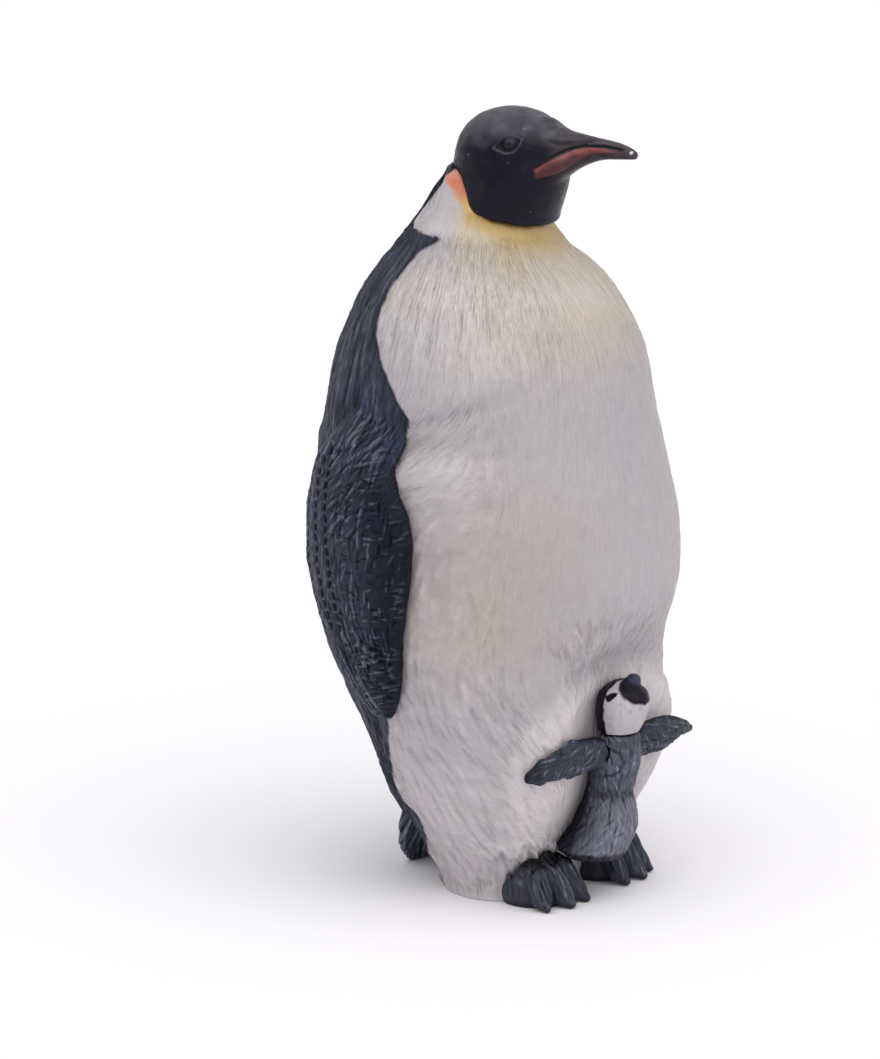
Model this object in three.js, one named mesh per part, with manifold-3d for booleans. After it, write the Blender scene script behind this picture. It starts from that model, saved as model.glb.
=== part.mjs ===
// A standing penguin figurine with a chick on its feet, moulded in vinyl and glued together.
// The body is a hollow moulding in two shells, belly and back, with locating pins between them.
// Head, flippers, tail, feet and chick are separate mouldings, each with a peg that plugs into a socket.
// Millimetres, +Z up. The bird faces -Y, its right side is -X, and the origin is on the base, below its head.

import * as THREE from "three";
import { mergeVertices } from "three/addons/utils/BufferGeometryUtils.js";
import Module from "manifold-3d";

const wasm = await Module();
wasm.setup();

// Fits between mouldings
const SEAM_GAP = 0.3; // between two glued faces
const PEG_GAP = 0.3; // round a peg in its socket
const SOCKET_SPARE = 0.6; // a socket is deeper than its peg by this

// Body shells
const WALL = 3.0;
const FLOOR = 11.0; // solid base under the hollow
const NECK_SOLID = 13.0; // solid neck above the hollow, down from the collar

// Cross-sections of the body, from the hem up. rise is the height above the section before, front and
// back are the reach from the head's axis, and exponent is the superellipse's.
const HEM = { rise: 0, halfWidth: 9, front: 8.6, back: 5, exponent: 2.3 };
const ANKLE = { rise: 3, halfWidth: 11.8, front: 11.8, back: 7.6, exponent: 2.3 };
const THIGH = { rise: 5, halfWidth: 15.2, front: 15.2, back: 12, exponent: 2.3 };
const HIP = { rise: 7, halfWidth: 17.5, front: 18.7, back: 14.4, exponent: 2.4 };
const POUCH_RIM = { rise: 7, halfWidth: 19.3, front: 18.1, back: 17.2, exponent: 2.4 };
const BELLY_FOLD = { rise: 6, halfWidth: 20.3, front: 16.6, back: 20.7, exponent: 2.3 };
const BELLY = { rise: 10, halfWidth: 21.6, front: 18.9, back: 24, exponent: 2.3 };
const FLANK = { rise: 8, halfWidth: 21.4, front: 18.6, back: 23.9, exponent: 2.3 };
const BREAST_FOLD = { rise: 12, halfWidth: 20, front: 15.8, back: 22.6, exponent: 2.2 };
const BREAST = { rise: 8, halfWidth: 18.9, front: 14.5, back: 21.2, exponent: 2.1 };
const SHOULDER = { rise: 8, halfWidth: 15.2, front: 10.3, back: 18, exponent: 2 };
const NECK_ROOT = { rise: 4, halfWidth: 11, front: 6.1, back: 15.2, exponent: 2 };
const COLLAR = { rise: 3, halfWidth: 7.5, front: 4.1, back: 12.8, exponent: 2 };
const NAPE = { rise: 3, halfWidth: 6.8, front: 4.4, back: 11, exponent: 2 };
const NECK_TOP = { rise: 4.5, halfWidth: 6.4, front: 4.4, back: 7.8, exponent: 2 };
const BODY = [
  HEM, ANKLE, THIGH, HIP, POUCH_RIM, BELLY_FOLD, BELLY, FLANK, BREAST_FOLD, BREAST, SHOULDER,
  NECK_ROOT, COLLAR, NAPE, NECK_TOP,
];

// The middle of the front is drawn in to make room for the chick, by a depth that fades over a width
const POUCH_HEM = { height: 0, depth: 2, width: 11 };
const POUCH_ANKLE = { height: 3, depth: 4.2, width: 11 };
const POUCH_THIGH = { height: 8, depth: 6, width: 9.5 };
const POUCH_HIP = { height: 15, depth: 7.6, width: 8.8 };
const POUCH_BRIM = { height: 22, depth: 6.2, width: 8.4 };
const POUCH_FOLD = { height: 28, depth: 3, width: 7.6 };
const POUCH_END = { height: 38, depth: 0, width: 8 };
const POUCH = [POUCH_HEM, POUCH_ANKLE, POUCH_THIGH, POUCH_HIP, POUCH_BRIM, POUCH_FOLD, POUCH_END];

// Where the two shells meet, in side view
const PARTING_BASE = { height: 0, y: 2 };
const PARTING_THIGH = { height: 8, y: 4.5 };
const PARTING_HIP = { height: 22, y: 6.8 };
const PARTING_BREAST = { height: 58, y: 6 };
const PARTING_NECK = { height: 78, y: 7.2 };
const PARTING_TOP = { height: 88, y: 4.7 };
const PARTING = [PARTING_BASE, PARTING_THIGH, PARTING_HIP, PARTING_BREAST, PARTING_NECK, PARTING_TOP];

// Locating pins on the back shell, in posts that face sockets in the belly shell
const UPPER_PIN = { height: 53, side: 9 };
const LOWER_PIN = { height: 20, side: 8.5 };
const PINS = [UPPER_PIN, LOWER_PIN];
const POST_RADIUS = 3.0;
const PIN_RADIUS = 1.5;
const PIN_LENGTH = 5.0;
const BOSS_WALL = 1.6; // round a socket that is deeper than the wall

// Head: a hood that plugs onto the neck, from the lower edge to the brow, where the dome of the crown
// begins. Heights are above the collar.
const HOOD_RIM = { height: -2, halfWidth: 6.4, front: 4, back: 7.4 };
const HOOD_CHEEK = { height: 3, halfWidth: 6.8, front: 6, back: 7.4 };
const HOOD_EYES = { height: 5.5, halfWidth: 6.9, front: 6.7, back: 7.4 };
const HOOD_BROW = { height: 7, halfWidth: 6.8, front: 6.9, back: 7.4 };
const HOOD = [HOOD_RIM, HOOD_CHEEK, HOOD_EYES, HOOD_BROW];
const CROWN_HEIGHT = 14.0;
const CROWN_EXPONENT = 2.3;

// Lower edge of the hood in side view
const EDGE_FRONT = { y: -14, height: -1.2 };
const EDGE_CHIN = { y: -6, height: -0.3 };
const EDGE_CHEEK = { y: -0.6, height: 1.1 };
const EDGE_CORNER = { y: 1.7, height: 2 };
const EDGE_EAR = { y: 2.6, height: 4.4 };
const EDGE_NAPE = { y: 5, height: 6.6 };
const EDGE_REAR = { y: 14, height: 7.2 };
const HOOD_EDGE = [EDGE_FRONT, EDGE_CHIN, EDGE_CHEEK, EDGE_CORNER, EDGE_EAR, EDGE_NAPE, EDGE_REAR];
const NECK_PEG = { y: -0.2, radius: 2.6, length: 6.5, root: 3 };

// Bill, from its root inside the hood to its tip
const BILL_ROOT = { reach: 4.2, height: 8.6, halfWidth: 5.2, halfHeight: 4.7 };
const BILL_BASE = { reach: 7, height: 8.8, halfWidth: 3.4, halfHeight: 3.15 };
const BILL_FACE = { reach: 9.6, height: 9.4, halfWidth: 2.2, halfHeight: 2.1 };
const BILL_MIDDLE = { reach: 12.6, height: 9.8, halfWidth: 1.5, halfHeight: 1.35 };
const BILL_DROOP = { reach: 15.6, height: 9.75, halfWidth: 1.05, halfHeight: 0.95 };
const BILL_TIP = { reach: 17.3, height: 9.45, halfWidth: 0.5, halfHeight: 0.5 };
const BILL = [BILL_ROOT, BILL_BASE, BILL_FACE, BILL_MIDDLE, BILL_DROOP, BILL_TIP];

// Flippers lie against the sides. Outline from the tip up: front and rear edge as y, and thickness.
const FLIPPER_TIP_HEIGHT = 23.2;
const FLIPPER_TIP = { rise: 0, front: 3, rear: 5.6, thick: 1.4 };
const FLIPPER_POINT = { rise: 1.6, front: 1.9, rear: 7.8, thick: 1.9 };
const FLIPPER_NARROW = { rise: 3.8, front: 0.8, rear: 10.7, thick: 2.4 };
const FLIPPER_LOWER = { rise: 5, front: 0.2, rear: 13.8, thick: 2.7 };
const FLIPPER_MIDDLE = { rise: 6.4, front: -1.1, rear: 16.6, thick: 3 };
const FLIPPER_WIDEST = { rise: 7, front: -1.3, rear: 17.8, thick: 3.2 };
const FLIPPER_ELBOW = { rise: 7, front: 1.9, rear: 16, thick: 2.8 };
const FLIPPER_UPPER = { rise: 4, front: 0.4, rear: 13, thick: 2.3 };
const FLIPPER_SHOULDER = { rise: 3, front: 3, rear: 9.8, thick: 1.4 };
const FLIPPER_TOP = { rise: 1.4, front: 5.2, rear: 7.6, thick: 0.8 };
const FLIPPER = [
  FLIPPER_TIP, FLIPPER_POINT, FLIPPER_NARROW, FLIPPER_LOWER, FLIPPER_MIDDLE, FLIPPER_WIDEST,
  FLIPPER_ELBOW, FLIPPER_UPPER, FLIPPER_SHOULDER, FLIPPER_TOP,
];
const FLIPPER_FRONT_SHARE = 0.35; // thickness of the front edge as a share of the middle
const FLIPPER_REAR_SHARE = 0.35;
const FLIPPER_UPPER_PEG = { up: 27, radius: 1.6 };
const FLIPPER_LOWER_PEG = { up: 15, radius: 1.3 };
const FLIPPER_PEGS = [FLIPPER_UPPER_PEG, FLIPPER_LOWER_PEG];
const FLIPPER_PEG_Y = 10.5;
const FLIPPER_PEG_LENGTH = 5.0;
const FLIPPER_PEG_ROOT = 1.0; // how far a peg reaches into its flipper

// Tail, from the ground up. behind is how far its middle stands behind the body, where its peg goes in.
const TAIL_TIP = { rise: 0, halfWidth: 2.4, halfThick: 0.8, behind: 2 };
const TAIL_LOWER = { rise: 2.2, halfWidth: 4.4, halfThick: 1.1, behind: 1.8 };
const TAIL_WIDEST = { rise: 3.2, halfWidth: 5, halfThick: 1.4, behind: 1.4 };
const TAIL_UPPER = { rise: 3, halfWidth: 4, halfThick: 1.5, behind: 1 };
const TAIL_ROOT = { rise: 2.6, halfWidth: 2, halfThick: 1.2, behind: 1.5 };
const TAIL = [TAIL_TIP, TAIL_LOWER, TAIL_WIDEST, TAIL_UPPER, TAIL_ROOT];
const TAIL_PEG = { height: 8, radius: 1.3, length: 4 };

// Feet: a pad under the belly and three toes, measured outwards and forwards from the foot's middle
const FOOT_SPREAD = 7.1; // middle of each foot from the centre line
const FOOT_REACH = 3.2; // middle of the pad in front of the hem
const FOOT_PAD = { halfWidth: 4.1, halfLength: 4.2, height: 6.8, sunk: 1.2 };
const OUTER_TOE = { knuckleOut: 2, knuckleForward: 0.7, tipOut: 3.4, tipForward: 3.6 };
const MIDDLE_TOE = { knuckleOut: 0.1, knuckleForward: 0.8, tipOut: 0.5, tipForward: 4.8 };
const INNER_TOE = { knuckleOut: -1.9, knuckleForward: 0.6, tipOut: -2.6, tipForward: 4.6 };
const TOES = [OUTER_TOE, MIDDLE_TOE, INNER_TOE];
const KNUCKLE_RADIUS = 1.7;
const KNUCKLE_HEIGHT = 4.3;
const TOE_RADIUS = 1.3;
const TOE_HEIGHT = 1.1; // middle of a toe's end above the ground
const TOE_ARCH = 1.2; // how far a toe bows up between knuckle and end
const CLAW_RADIUS = 0.6;
const CLAW_LENGTH = 1.1;
const FOOT_PEG = { height: 2.4, radius: 1.4, length: 4, root: 1.5 };

// Chick: heights are above the ground, forward is the reach from the line that it stands on and turns about
const CHICK_STANDOFF = 4.6; // of that line from the front of the pouch
const CHICK_TURN = 5; // degrees, towards the adult's right
const CHICK_SEAT = { rise: 5.2, halfWidth: 3.6, halfDepth: 3.6, forward: -0.4, left: -1.6 };
const CHICK_HIPS = { rise: 1.3, halfWidth: 4.8, halfDepth: 4.3, forward: -0.4, left: -1.8 };
const CHICK_LAP = { rise: 2.3, halfWidth: 4, halfDepth: 4.2, forward: 0.2, left: -0.4 };
const CHICK_WAIST = { rise: 4.8, halfWidth: 3, halfDepth: 2.9, forward: 0.8, left: 0 };
const CHICK_BREAST = { rise: 3.4, halfWidth: 3.2, halfDepth: 3, forward: 1.6, left: 0 };
const CHICK_SHOULDERS = { rise: 2.2, halfWidth: 2.8, halfDepth: 2.6, forward: 2, left: 0 };
const CHICK_NECK = { rise: 1.4, halfWidth: 2.5, halfDepth: 2.4, forward: 2.2, left: 0 };
const CHICK_BODY = [
  CHICK_SEAT, CHICK_HIPS, CHICK_LAP, CHICK_WAIST, CHICK_BREAST, CHICK_SHOULDERS, CHICK_NECK,
];
const CHICK_COLLAR = { rise: 0, halfWidth: 2.5, halfDepth: 2.4, forward: 2.3, left: 0 };
const CHICK_CHIN = { rise: 1.4, halfWidth: 2.9, halfDepth: 2.8, forward: 2.7, left: 0 };
const CHICK_CHEEK = { rise: 1.8, halfWidth: 3.1, halfDepth: 3.1, forward: 3, left: 0 };
const CHICK_BROW = { rise: 1.6, halfWidth: 2.8, halfDepth: 2.8, forward: 3, left: 0 };
const CHICK_CAP = { rise: 1, halfWidth: 2, halfDepth: 2.1, forward: 3, left: 0 };
const CHICK_CROWN = { rise: 0.4, halfWidth: 0.9, halfDepth: 1, forward: 3, left: 0 };
const CHICK_HEAD = [CHICK_COLLAR, CHICK_CHIN, CHICK_CHEEK, CHICK_BROW, CHICK_CAP, CHICK_CROWN];
const CHICK_BILL_ROOT = { forward: 3.8, up: 4.3, radius: 1.8 };
const CHICK_BILL_TIP = { forward: 4.5, up: 6.6, radius: 0.7 };

// Chick's flippers: out is from the line that the chick stands on
const CHICK_FLIPPER_ROOT = { out: 1.9, height: 18.3, halfWidth: 1.8, halfThick: 1.1, forward: 1.7 };
const CHICK_FLIPPER_UPPER = { out: 4.8, height: 18.8, halfWidth: 2.1, halfThick: 1, forward: 1.9 };
const CHICK_FLIPPER_WIDEST = { out: 8.2, height: 19, halfWidth: 2.2, halfThick: 0.9, forward: 2.2 };
const CHICK_FLIPPER_LOWER = { out: 11.4, height: 18.7, halfWidth: 1.8, halfThick: 0.8, forward: 2 };
const CHICK_FLIPPER_POINT = { out: 14.2, height: 18.1, halfWidth: 1.1, halfThick: 0.6, forward: 1.3 };
const CHICK_FLIPPER_TIP = { out: 15.3, height: 17.8, halfWidth: 0.6, halfThick: 0.4, forward: 0.9 };
const CHICK_FLIPPER = [
  CHICK_FLIPPER_ROOT, CHICK_FLIPPER_UPPER, CHICK_FLIPPER_WIDEST, CHICK_FLIPPER_LOWER,
  CHICK_FLIPPER_POINT, CHICK_FLIPPER_TIP,
];
const CHICK_PEG = { height: 8, radius: 1.2, length: 3.4, root: 2 };
const CHICK_NECK_PEG = { radius: 1, length: 2.4, root: 1 };
const CHICK_FLIPPER_PEG = { radius: 0.7, length: 1.4, root: 1 };

// Fineness of the facets
const BODY_SIDES = 44;
const BODY_STEP = 3.0;
const CAVITY_SIDES = 28;
const CAVITY_STEP = 5.0;
const HEAD_SIDES = 32;
const HEAD_STEP = 1.3;
const FLIPPER_SIDES = 8; // across one face
const SMALL_SIDES = 16;
const SMALL_STEP = 1.3;
const TOE_SIDES = 10;
const HOOD_EDGE_PARTS = 21;
const ROUND_END = [20, 45, 75]; // degrees from the rim of a round end, at each of its rings
const CROWN_FLAT = 0.33; // the flat on top of the dome, as a share of the ring below
const BEYOND = 60.0; // cutting solids reach this far past the figure
const MERGE = 1e-4; // corners closer than this are one

const { clamp, degToRad, lerp, mapLinear } = THREE.MathUtils;

// Solids from closed geometry, and back

function solidOf(geometry) {
  const loose = geometry.index ? geometry.toNonIndexed() : geometry;
  const bare = new THREE.BufferGeometry().setAttribute("position", loose.getAttribute("position"));
  const merged = mergeVertices(bare, MERGE);
  const vertProperties = new Float32Array(merged.attributes.position.array);
  const triVerts = new Uint32Array(merged.index.array);
  return new wasm.Manifold(new wasm.Mesh({ numProp: 3, vertProperties, triVerts }));
}

function geometryOf(solid) {
  const { vertProperties, triVerts } = solid.getMesh();
  const geometry = new THREE.BufferGeometry();
  geometry.setAttribute("position", new THREE.BufferAttribute(new Float32Array(vertProperties), 3));
  geometry.setIndex(new THREE.BufferAttribute(new Uint32Array(triVerts), 1));
  geometry.computeVertexNormals();
  return geometry;
}

const union = (solids) => solids.reduce((made, next) => made.add(next));

// The same solid on the other side of the centre line
function mirrored(solid) {
  const geometry = geometryOf(solid).scale(-1, 1, 1);
  geometry.setIndex(Array.from(geometry.index.array).reverse());
  return solidOf(geometry);
}

const bothSides = (solid) => solid.add(mirrored(solid));

// A closed skin over rings of points, each ring turning right-handed about the way they follow each other
function skin(rings) {
  const sides = rings[0].length;
  const points = rings.flat();
  const faces = [];
  for (let ring = 0; ring + 1 < rings.length; ring++) {
    for (let side = 0; side < sides; side++) {
      const here = ring * sides + side;
      const next = ring * sides + ((side + 1) % sides);
      faces.push(here, next, next + sides, here, next + sides, here + sides);
    }
  }
  const closeEnd = (ring, facesBack) => {
    const middle = new THREE.Vector3();
    rings[ring].forEach((point) => middle.addScaledVector(point, 1 / sides));
    const centre = points.push(middle) - 1;
    for (let side = 0; side < sides; side++) {
      const here = ring * sides + side;
      const next = ring * sides + ((side + 1) % sides);
      faces.push(centre, ...(facesBack ? [next, here] : [here, next]));
    }
  };
  closeEnd(0, true);
  closeEnd(rings.length - 1, false);
  const geometry = new THREE.BufferGeometry().setFromPoints(points);
  geometry.setIndex(faces);
  return solidOf(geometry);
}

// A smooth line through rows of sizes, looked up by one of their fields
function lineThrough(rows, key) {
  const fields = Object.keys(rows[0]).filter((field) => field !== key);
  const places = rows.map((row) => row[key]);
  const values = rows.flatMap((row) => fields.map((field) => row[field]));
  const curve = new THREE.CubicInterpolant(places, values, fields.length);
  const start = places[0];
  const end = places.at(-1);
  const at = (place) => {
    const found = curve.evaluate(clamp(place, start, end));
    return Object.fromEntries(fields.map((field, i) => [field, found[i]]));
  };
  return { at, start, end };
}

// Rows that give their rise above the row before, with their heights added up
function stacked(rows, base = 0) {
  let height = base;
  return rows.map(({ rise, ...sizes }) => {
    height += rise;
    return { height, ...sizes };
  });
}

// Places along a line with both its ends, no further apart than the step
function steps(from, to, step) {
  const count = Math.max(1, Math.ceil((to - from) / step));
  return Array.from({ length: count + 1 }, (_, i) => lerp(from, to, i / count));
}

const turns = (sides) => Array.from({ length: sides }, (_, i) => (2 * Math.PI * i) / sides);

const signedPower = (value, power) => Math.sign(value) * Math.abs(value) ** power;

// A straight round peg or bore
function rod(from, to, radius, sides = SMALL_SIDES) {
  const axis = to.clone().sub(from);
  const geometry = new THREE.CylinderGeometry(radius, radius, axis.length(), sides);
  const upright = new THREE.Vector3(0, 1, 0);
  geometry.applyQuaternion(new THREE.Quaternion().setFromUnitVectors(upright, axis.clone().normalize()));
  geometry.translate(...from.clone().lerp(to, 0.5).toArray());
  return solidOf(geometry);
}

// A tapering limb along a path, with a radius at each point and round ends
function limb(path, radii, sides) {
  const last = path.length - 1;
  const headings = path.map((_, i) => {
    const before = path[Math.max(i - 1, 0)];
    return path[Math.min(i + 1, last)].clone().sub(before).normalize();
  });
  const ring = (centre, heading, radius) => {
    const across = new THREE.Vector3(0, 0, 1).cross(heading).normalize();
    const up = heading.clone().cross(across);
    return turns(sides).map((angle) => centre.clone()
      .addScaledVector(across, radius * Math.cos(angle))
      .addScaledVector(up, radius * Math.sin(angle)));
  };
  const roundedEnd = (i, way) => ROUND_END.map(degToRad).map((angle) => {
    const centre = path[i].clone().addScaledVector(headings[i], way * radii[i] * Math.sin(angle));
    return ring(centre, headings[i], radii[i] * Math.cos(angle));
  });
  const middle = path.map((point, i) => ring(point, headings[i], radii[i]));
  return skin([...roundedEnd(0, -1).reverse(), ...middle, ...roundedEnd(last, 1)]);
}

// Everything inside an outline of y and z in side view, right across the figure
function sideRegion(outline) {
  const shape = new THREE.Shape(outline.map(([y, z]) => new THREE.Vector2(y, z)));
  const geometry = new THREE.ExtrudeGeometry(shape, { depth: 2 * BEYOND, bevelEnabled: false });
  geometry.translate(0, 0, -BEYOND);
  const acrossFigure = new THREE.Matrix4().makeBasis(
    new THREE.Vector3(0, 1, 0),
    new THREE.Vector3(0, 0, 1),
    new THREE.Vector3(1, 0, 0),
  );
  return solidOf(geometry.applyMatrix4(acrossFigure));
}

// Body form

const bodyRows = stacked(BODY);
const bodyLine = lineThrough(bodyRows, "height");
const pouchLine = lineThrough(POUCH, "height");
const partingLine = lineThrough(PARTING, "height");
const collarHeight = bodyRows[BODY.indexOf(COLLAR)].height;

function bodySection(height) {
  const section = bodyLine.at(height);
  const middle = (section.back - section.front) / 2;
  const halfDepth = (section.back + section.front) / 2;
  return { ...section, middle, halfDepth, pouch: pouchLine.at(height) };
}

// How far the front is drawn in at a distance from the centre line
const pouchAt = (x, { depth, width }) => Math.max(0, depth) * Math.exp(-((x / width) ** 2));

function bodyRing(height, grow, sides) {
  const section = bodySection(height);
  const power = 2 / section.exponent;
  return turns(sides).map((angle) => {
    const x = (section.halfWidth + grow) * signedPower(Math.cos(angle), power);
    const y = (section.halfDepth + grow) * signedPower(Math.sin(angle), power);
    return new THREE.Vector3(x, section.middle + y + (y < 0 ? pouchAt(x, section.pouch) : 0), height);
  });
}

// The other half-size of a section at a share of the first
const rounded = (share, exponent) => (1 - Math.min(1, Math.abs(share)) ** exponent) ** (1 / exponent);

// Where the side is at a height and a y, out from the centre line
function bodySide(height, y) {
  const { halfWidth, halfDepth, middle, exponent } = bodySection(height);
  return halfWidth * rounded((y - middle) / halfDepth, exponent);
}

// Where the front is at a height and a distance from the centre line, as y
function bodyFront(height, x) {
  const section = bodySection(height);
  const reach = section.halfDepth * rounded(x / section.halfWidth, section.exponent);
  return section.middle - reach + pouchAt(x, section.pouch);
}

const bodyBack = (height) => bodyLine.at(height).back;

const bodyHeights = steps(bodyLine.start, bodyLine.end, BODY_STEP);
const bodyForm = skin(bodyHeights.map((height) => bodyRing(height, 0, BODY_SIDES)));
// Cuts the pieces that are glued on, a seam away from the body
const bodyCutter = skin([
  bodyRing(bodyLine.start, SEAM_GAP, BODY_SIDES).map((point) => point.setZ(bodyLine.start - SEAM_GAP)),
  ...bodyHeights.map((height) => bodyRing(height, SEAM_GAP, BODY_SIDES)),
]);
// Keeps inner posts and bosses from showing outside
const bodyInside = skin(bodyHeights.map((height) => bodyRing(height, -WALL / 2, BODY_SIDES)));
const cavityHeights = steps(FLOOR, collarHeight - NECK_SOLID, CAVITY_STEP);
const cavity = skin(cavityHeights.map((height) => bodyRing(height, -WALL, CAVITY_SIDES)));
const bodyWall = bodyForm.subtract(cavity);

const aboveGround = sideRegion([[BEYOND, 0], [BEYOND, 2 * BEYOND], [-BEYOND, 2 * BEYOND], [-BEYOND, 0]]);

// One side of the seam between the shells: way is -1 for the belly and 1 for the back
function seamSide(way) {
  const low = bodyLine.start - BEYOND;
  const high = bodyLine.end + BEYOND;
  const seam = bodyHeights.map((height) => [partingLine.at(height).y + (way * SEAM_GAP) / 2, height]);
  const ends = [[seam.at(-1)[0], high], [way * BEYOND, high], [way * BEYOND, low], [seam[0][0], low]];
  return sideRegion([...seam, ...ends]);
}

// Head

const hoodEdgePoints = HOOD_EDGE.map(({ y, height }) => new THREE.Vector2(y, collarHeight + height));
const hoodEdge = new THREE.SplineCurve(hoodEdgePoints).getPoints(HOOD_EDGE_PARTS);

// Everything above the hood's lower edge, grown by a gap
function hoodRegion(grow) {
  const edge = hoodEdge.map((point) => [point.x + grow, point.y - grow]);
  const top = collarHeight + BEYOND;
  const ends = [[BEYOND, edge.at(-1)[1]], [BEYOND, top], [-BEYOND, top], [-BEYOND, edge[0][1]]];
  return sideRegion([...edge, ...ends]);
}

function hoodHeight(y) {
  const after = hoodEdge.findIndex((point) => point.x > y);
  const [low, high] = [hoodEdge[after - 1], hoodEdge[after]];
  return mapLinear(y, low.x, high.x, low.y, high.y);
}

function hoodForm() {
  const line = lineThrough(HOOD, "height");
  const domeHeight = CROWN_HEIGHT - line.end;
  const column = steps(line.start, line.end, HEAD_STEP).map((height) => ({ height, size: 1 }));
  const dome = steps(0, 1, HEAD_STEP / domeHeight).slice(1, -1).map((share) => {
    const risen = Math.sin((share * Math.PI) / 2);
    return { height: line.end + domeHeight * risen, size: rounded(risen, CROWN_EXPONENT) };
  });
  const crown = { height: CROWN_HEIGHT, size: dome.at(-1).size * CROWN_FLAT };
  return skin([...column, ...dome, crown].map(({ height, size }) => {
    const { halfWidth, front, back } = line.at(height);
    return turns(HEAD_SIDES).map((angle) => new THREE.Vector3(
      halfWidth * size * Math.cos(angle),
      ((back - front) / 2) + ((back + front) / 2) * size * Math.sin(angle),
      collarHeight + height,
    ));
  }));
}

function billForm() {
  const line = lineThrough(BILL, "reach");
  return skin(steps(line.start, line.end, HEAD_STEP).map((reach) => {
    const { height, halfWidth, halfHeight } = line.at(reach);
    return turns(SMALL_SIDES).map((angle) => new THREE.Vector3(
      halfWidth * Math.cos(angle),
      -reach,
      collarHeight + height + halfHeight * Math.sin(angle),
    ));
  }));
}

function neckPeg(grow, deeper) {
  const seat = hoodHeight(NECK_PEG.y);
  const foot = new THREE.Vector3(0, NECK_PEG.y, seat - NECK_PEG.length - deeper);
  const top = new THREE.Vector3(0, NECK_PEG.y, seat + NECK_PEG.root);
  return rod(foot, top, NECK_PEG.radius + grow);
}

const head = hoodForm().add(billForm()).intersect(hoodRegion(0)).add(neckPeg(0, 0));

// Flippers, drawn for the right side

const flipperLine = lineThrough(stacked(FLIPPER, FLIPPER_TIP_HEIGHT), "height");

// The inner face of a ring lies inside the body and is cut away to the seam
function flipperRing(height) {
  const { front, rear, thick } = flipperLine.at(height);
  const across = steps(0, 1, 1 / FLIPPER_SIDES).map((share) => {
    const y = lerp(front, rear, share);
    const edge = lerp(FLIPPER_FRONT_SHARE, FLIPPER_REAR_SHARE, share);
    const swell = Math.sqrt(4 * share * (1 - share));
    const side = bodySide(height, y);
    return { y, inner: side - SEAM_GAP, outer: side + SEAM_GAP + thick * lerp(edge, 1, swell) };
  });
  const innerFace = across.map(({ y, inner }) => new THREE.Vector3(-inner, y, height));
  const outerFace = across.map(({ y, outer }) => new THREE.Vector3(-outer, y, height));
  return [...innerFace, ...outerFace.reverse()];
}

function flipperPeg({ up, radius }, grow, deeper) {
  const height = FLIPPER_TIP_HEIGHT + up;
  const seat = bodySide(height, FLIPPER_PEG_Y) + SEAM_GAP;
  const outer = new THREE.Vector3(-seat - FLIPPER_PEG_ROOT, FLIPPER_PEG_Y, height);
  const inner = new THREE.Vector3(-seat + FLIPPER_PEG_LENGTH + deeper, FLIPPER_PEG_Y, height);
  return rod(outer, inner, radius + grow);
}

const flipperPegs = (grow, deeper) => union(FLIPPER_PEGS.map((peg) => flipperPeg(peg, grow, deeper)));
const flipper = skin(steps(flipperLine.start, flipperLine.end, BODY_STEP).map(flipperRing))
  .subtract(bodyCutter)
  .add(flipperPegs(0, 0));

// Tail

const tailLine = lineThrough(stacked(TAIL), "height");
const tailSeat = bodyBack(TAIL_PEG.height);

function tailRing(height) {
  const { halfWidth, halfThick, behind } = tailLine.at(height);
  return turns(SMALL_SIDES).map((angle) => new THREE.Vector3(
    halfWidth * Math.cos(angle),
    tailSeat + behind + halfThick * Math.sin(angle),
    height,
  ));
}

function tailPeg(grow, deeper) {
  const { height, length, radius } = TAIL_PEG;
  const inner = new THREE.Vector3(0, tailSeat - length - deeper, height);
  const outer = new THREE.Vector3(0, tailSeat + tailLine.at(height).behind, height);
  return rod(inner, outer, radius + grow);
}

const tail = skin(steps(tailLine.start, tailLine.end, SMALL_STEP).map(tailRing))
  .subtract(bodyCutter)
  .add(tailPeg(0, 0));

// Feet, drawn for the right side

const footMiddle = new THREE.Vector3(-FOOT_SPREAD, bodyFront(0, FOOT_SPREAD) - FOOT_REACH, 0);
const onFoot = (out, forward, height) => footMiddle.clone().add(new THREE.Vector3(-out, -forward, height));

function footPad(grow) {
  const { halfWidth, halfLength, height, sunk } = FOOT_PAD;
  const geometry = new THREE.SphereGeometry(1, SMALL_SIDES, SMALL_SIDES / 2);
  geometry.rotateX(Math.PI / 2);
  geometry.scale(halfWidth + grow, halfLength + grow, height - sunk + grow);
  geometry.translate(...onFoot(0, 0, sunk).toArray());
  return solidOf(geometry);
}

function toe({ knuckleOut, knuckleForward, tipOut, tipForward }, grow) {
  const knuckle = onFoot(knuckleOut, knuckleForward, KNUCKLE_HEIGHT);
  const tip = onFoot(tipOut, tipForward, TOE_HEIGHT);
  const heading = tip.clone().sub(knuckle).setZ(0).normalize();
  const middle = knuckle.clone().lerp(tip, 0.5).add(new THREE.Vector3(0, 0, TOE_ARCH));
  const claw = tip.clone().addScaledVector(heading, CLAW_LENGTH).setZ(CLAW_RADIUS);
  const radii = [KNUCKLE_RADIUS, (KNUCKLE_RADIUS + TOE_RADIUS) / 2, TOE_RADIUS, CLAW_RADIUS];
  return limb([knuckle, middle, tip, claw], radii.map((radius) => radius + grow), TOE_SIDES);
}

function footPeg(grow, deeper) {
  const { height, length, root, radius } = FOOT_PEG;
  const seat = bodyFront(height, FOOT_SPREAD);
  const outer = new THREE.Vector3(-FOOT_SPREAD, seat - root, height);
  const inner = new THREE.Vector3(-FOOT_SPREAD, seat + length + deeper, height);
  return rod(outer, inner, radius + grow);
}

function footForm(grow) {
  const toes = TOES.map((row) => toe(row, grow));
  return union([footPad(grow), ...toes]).intersect(aboveGround);
}

const foot = footForm(0).subtract(bodyCutter).add(footPeg(0, 0));

// Chick

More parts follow.
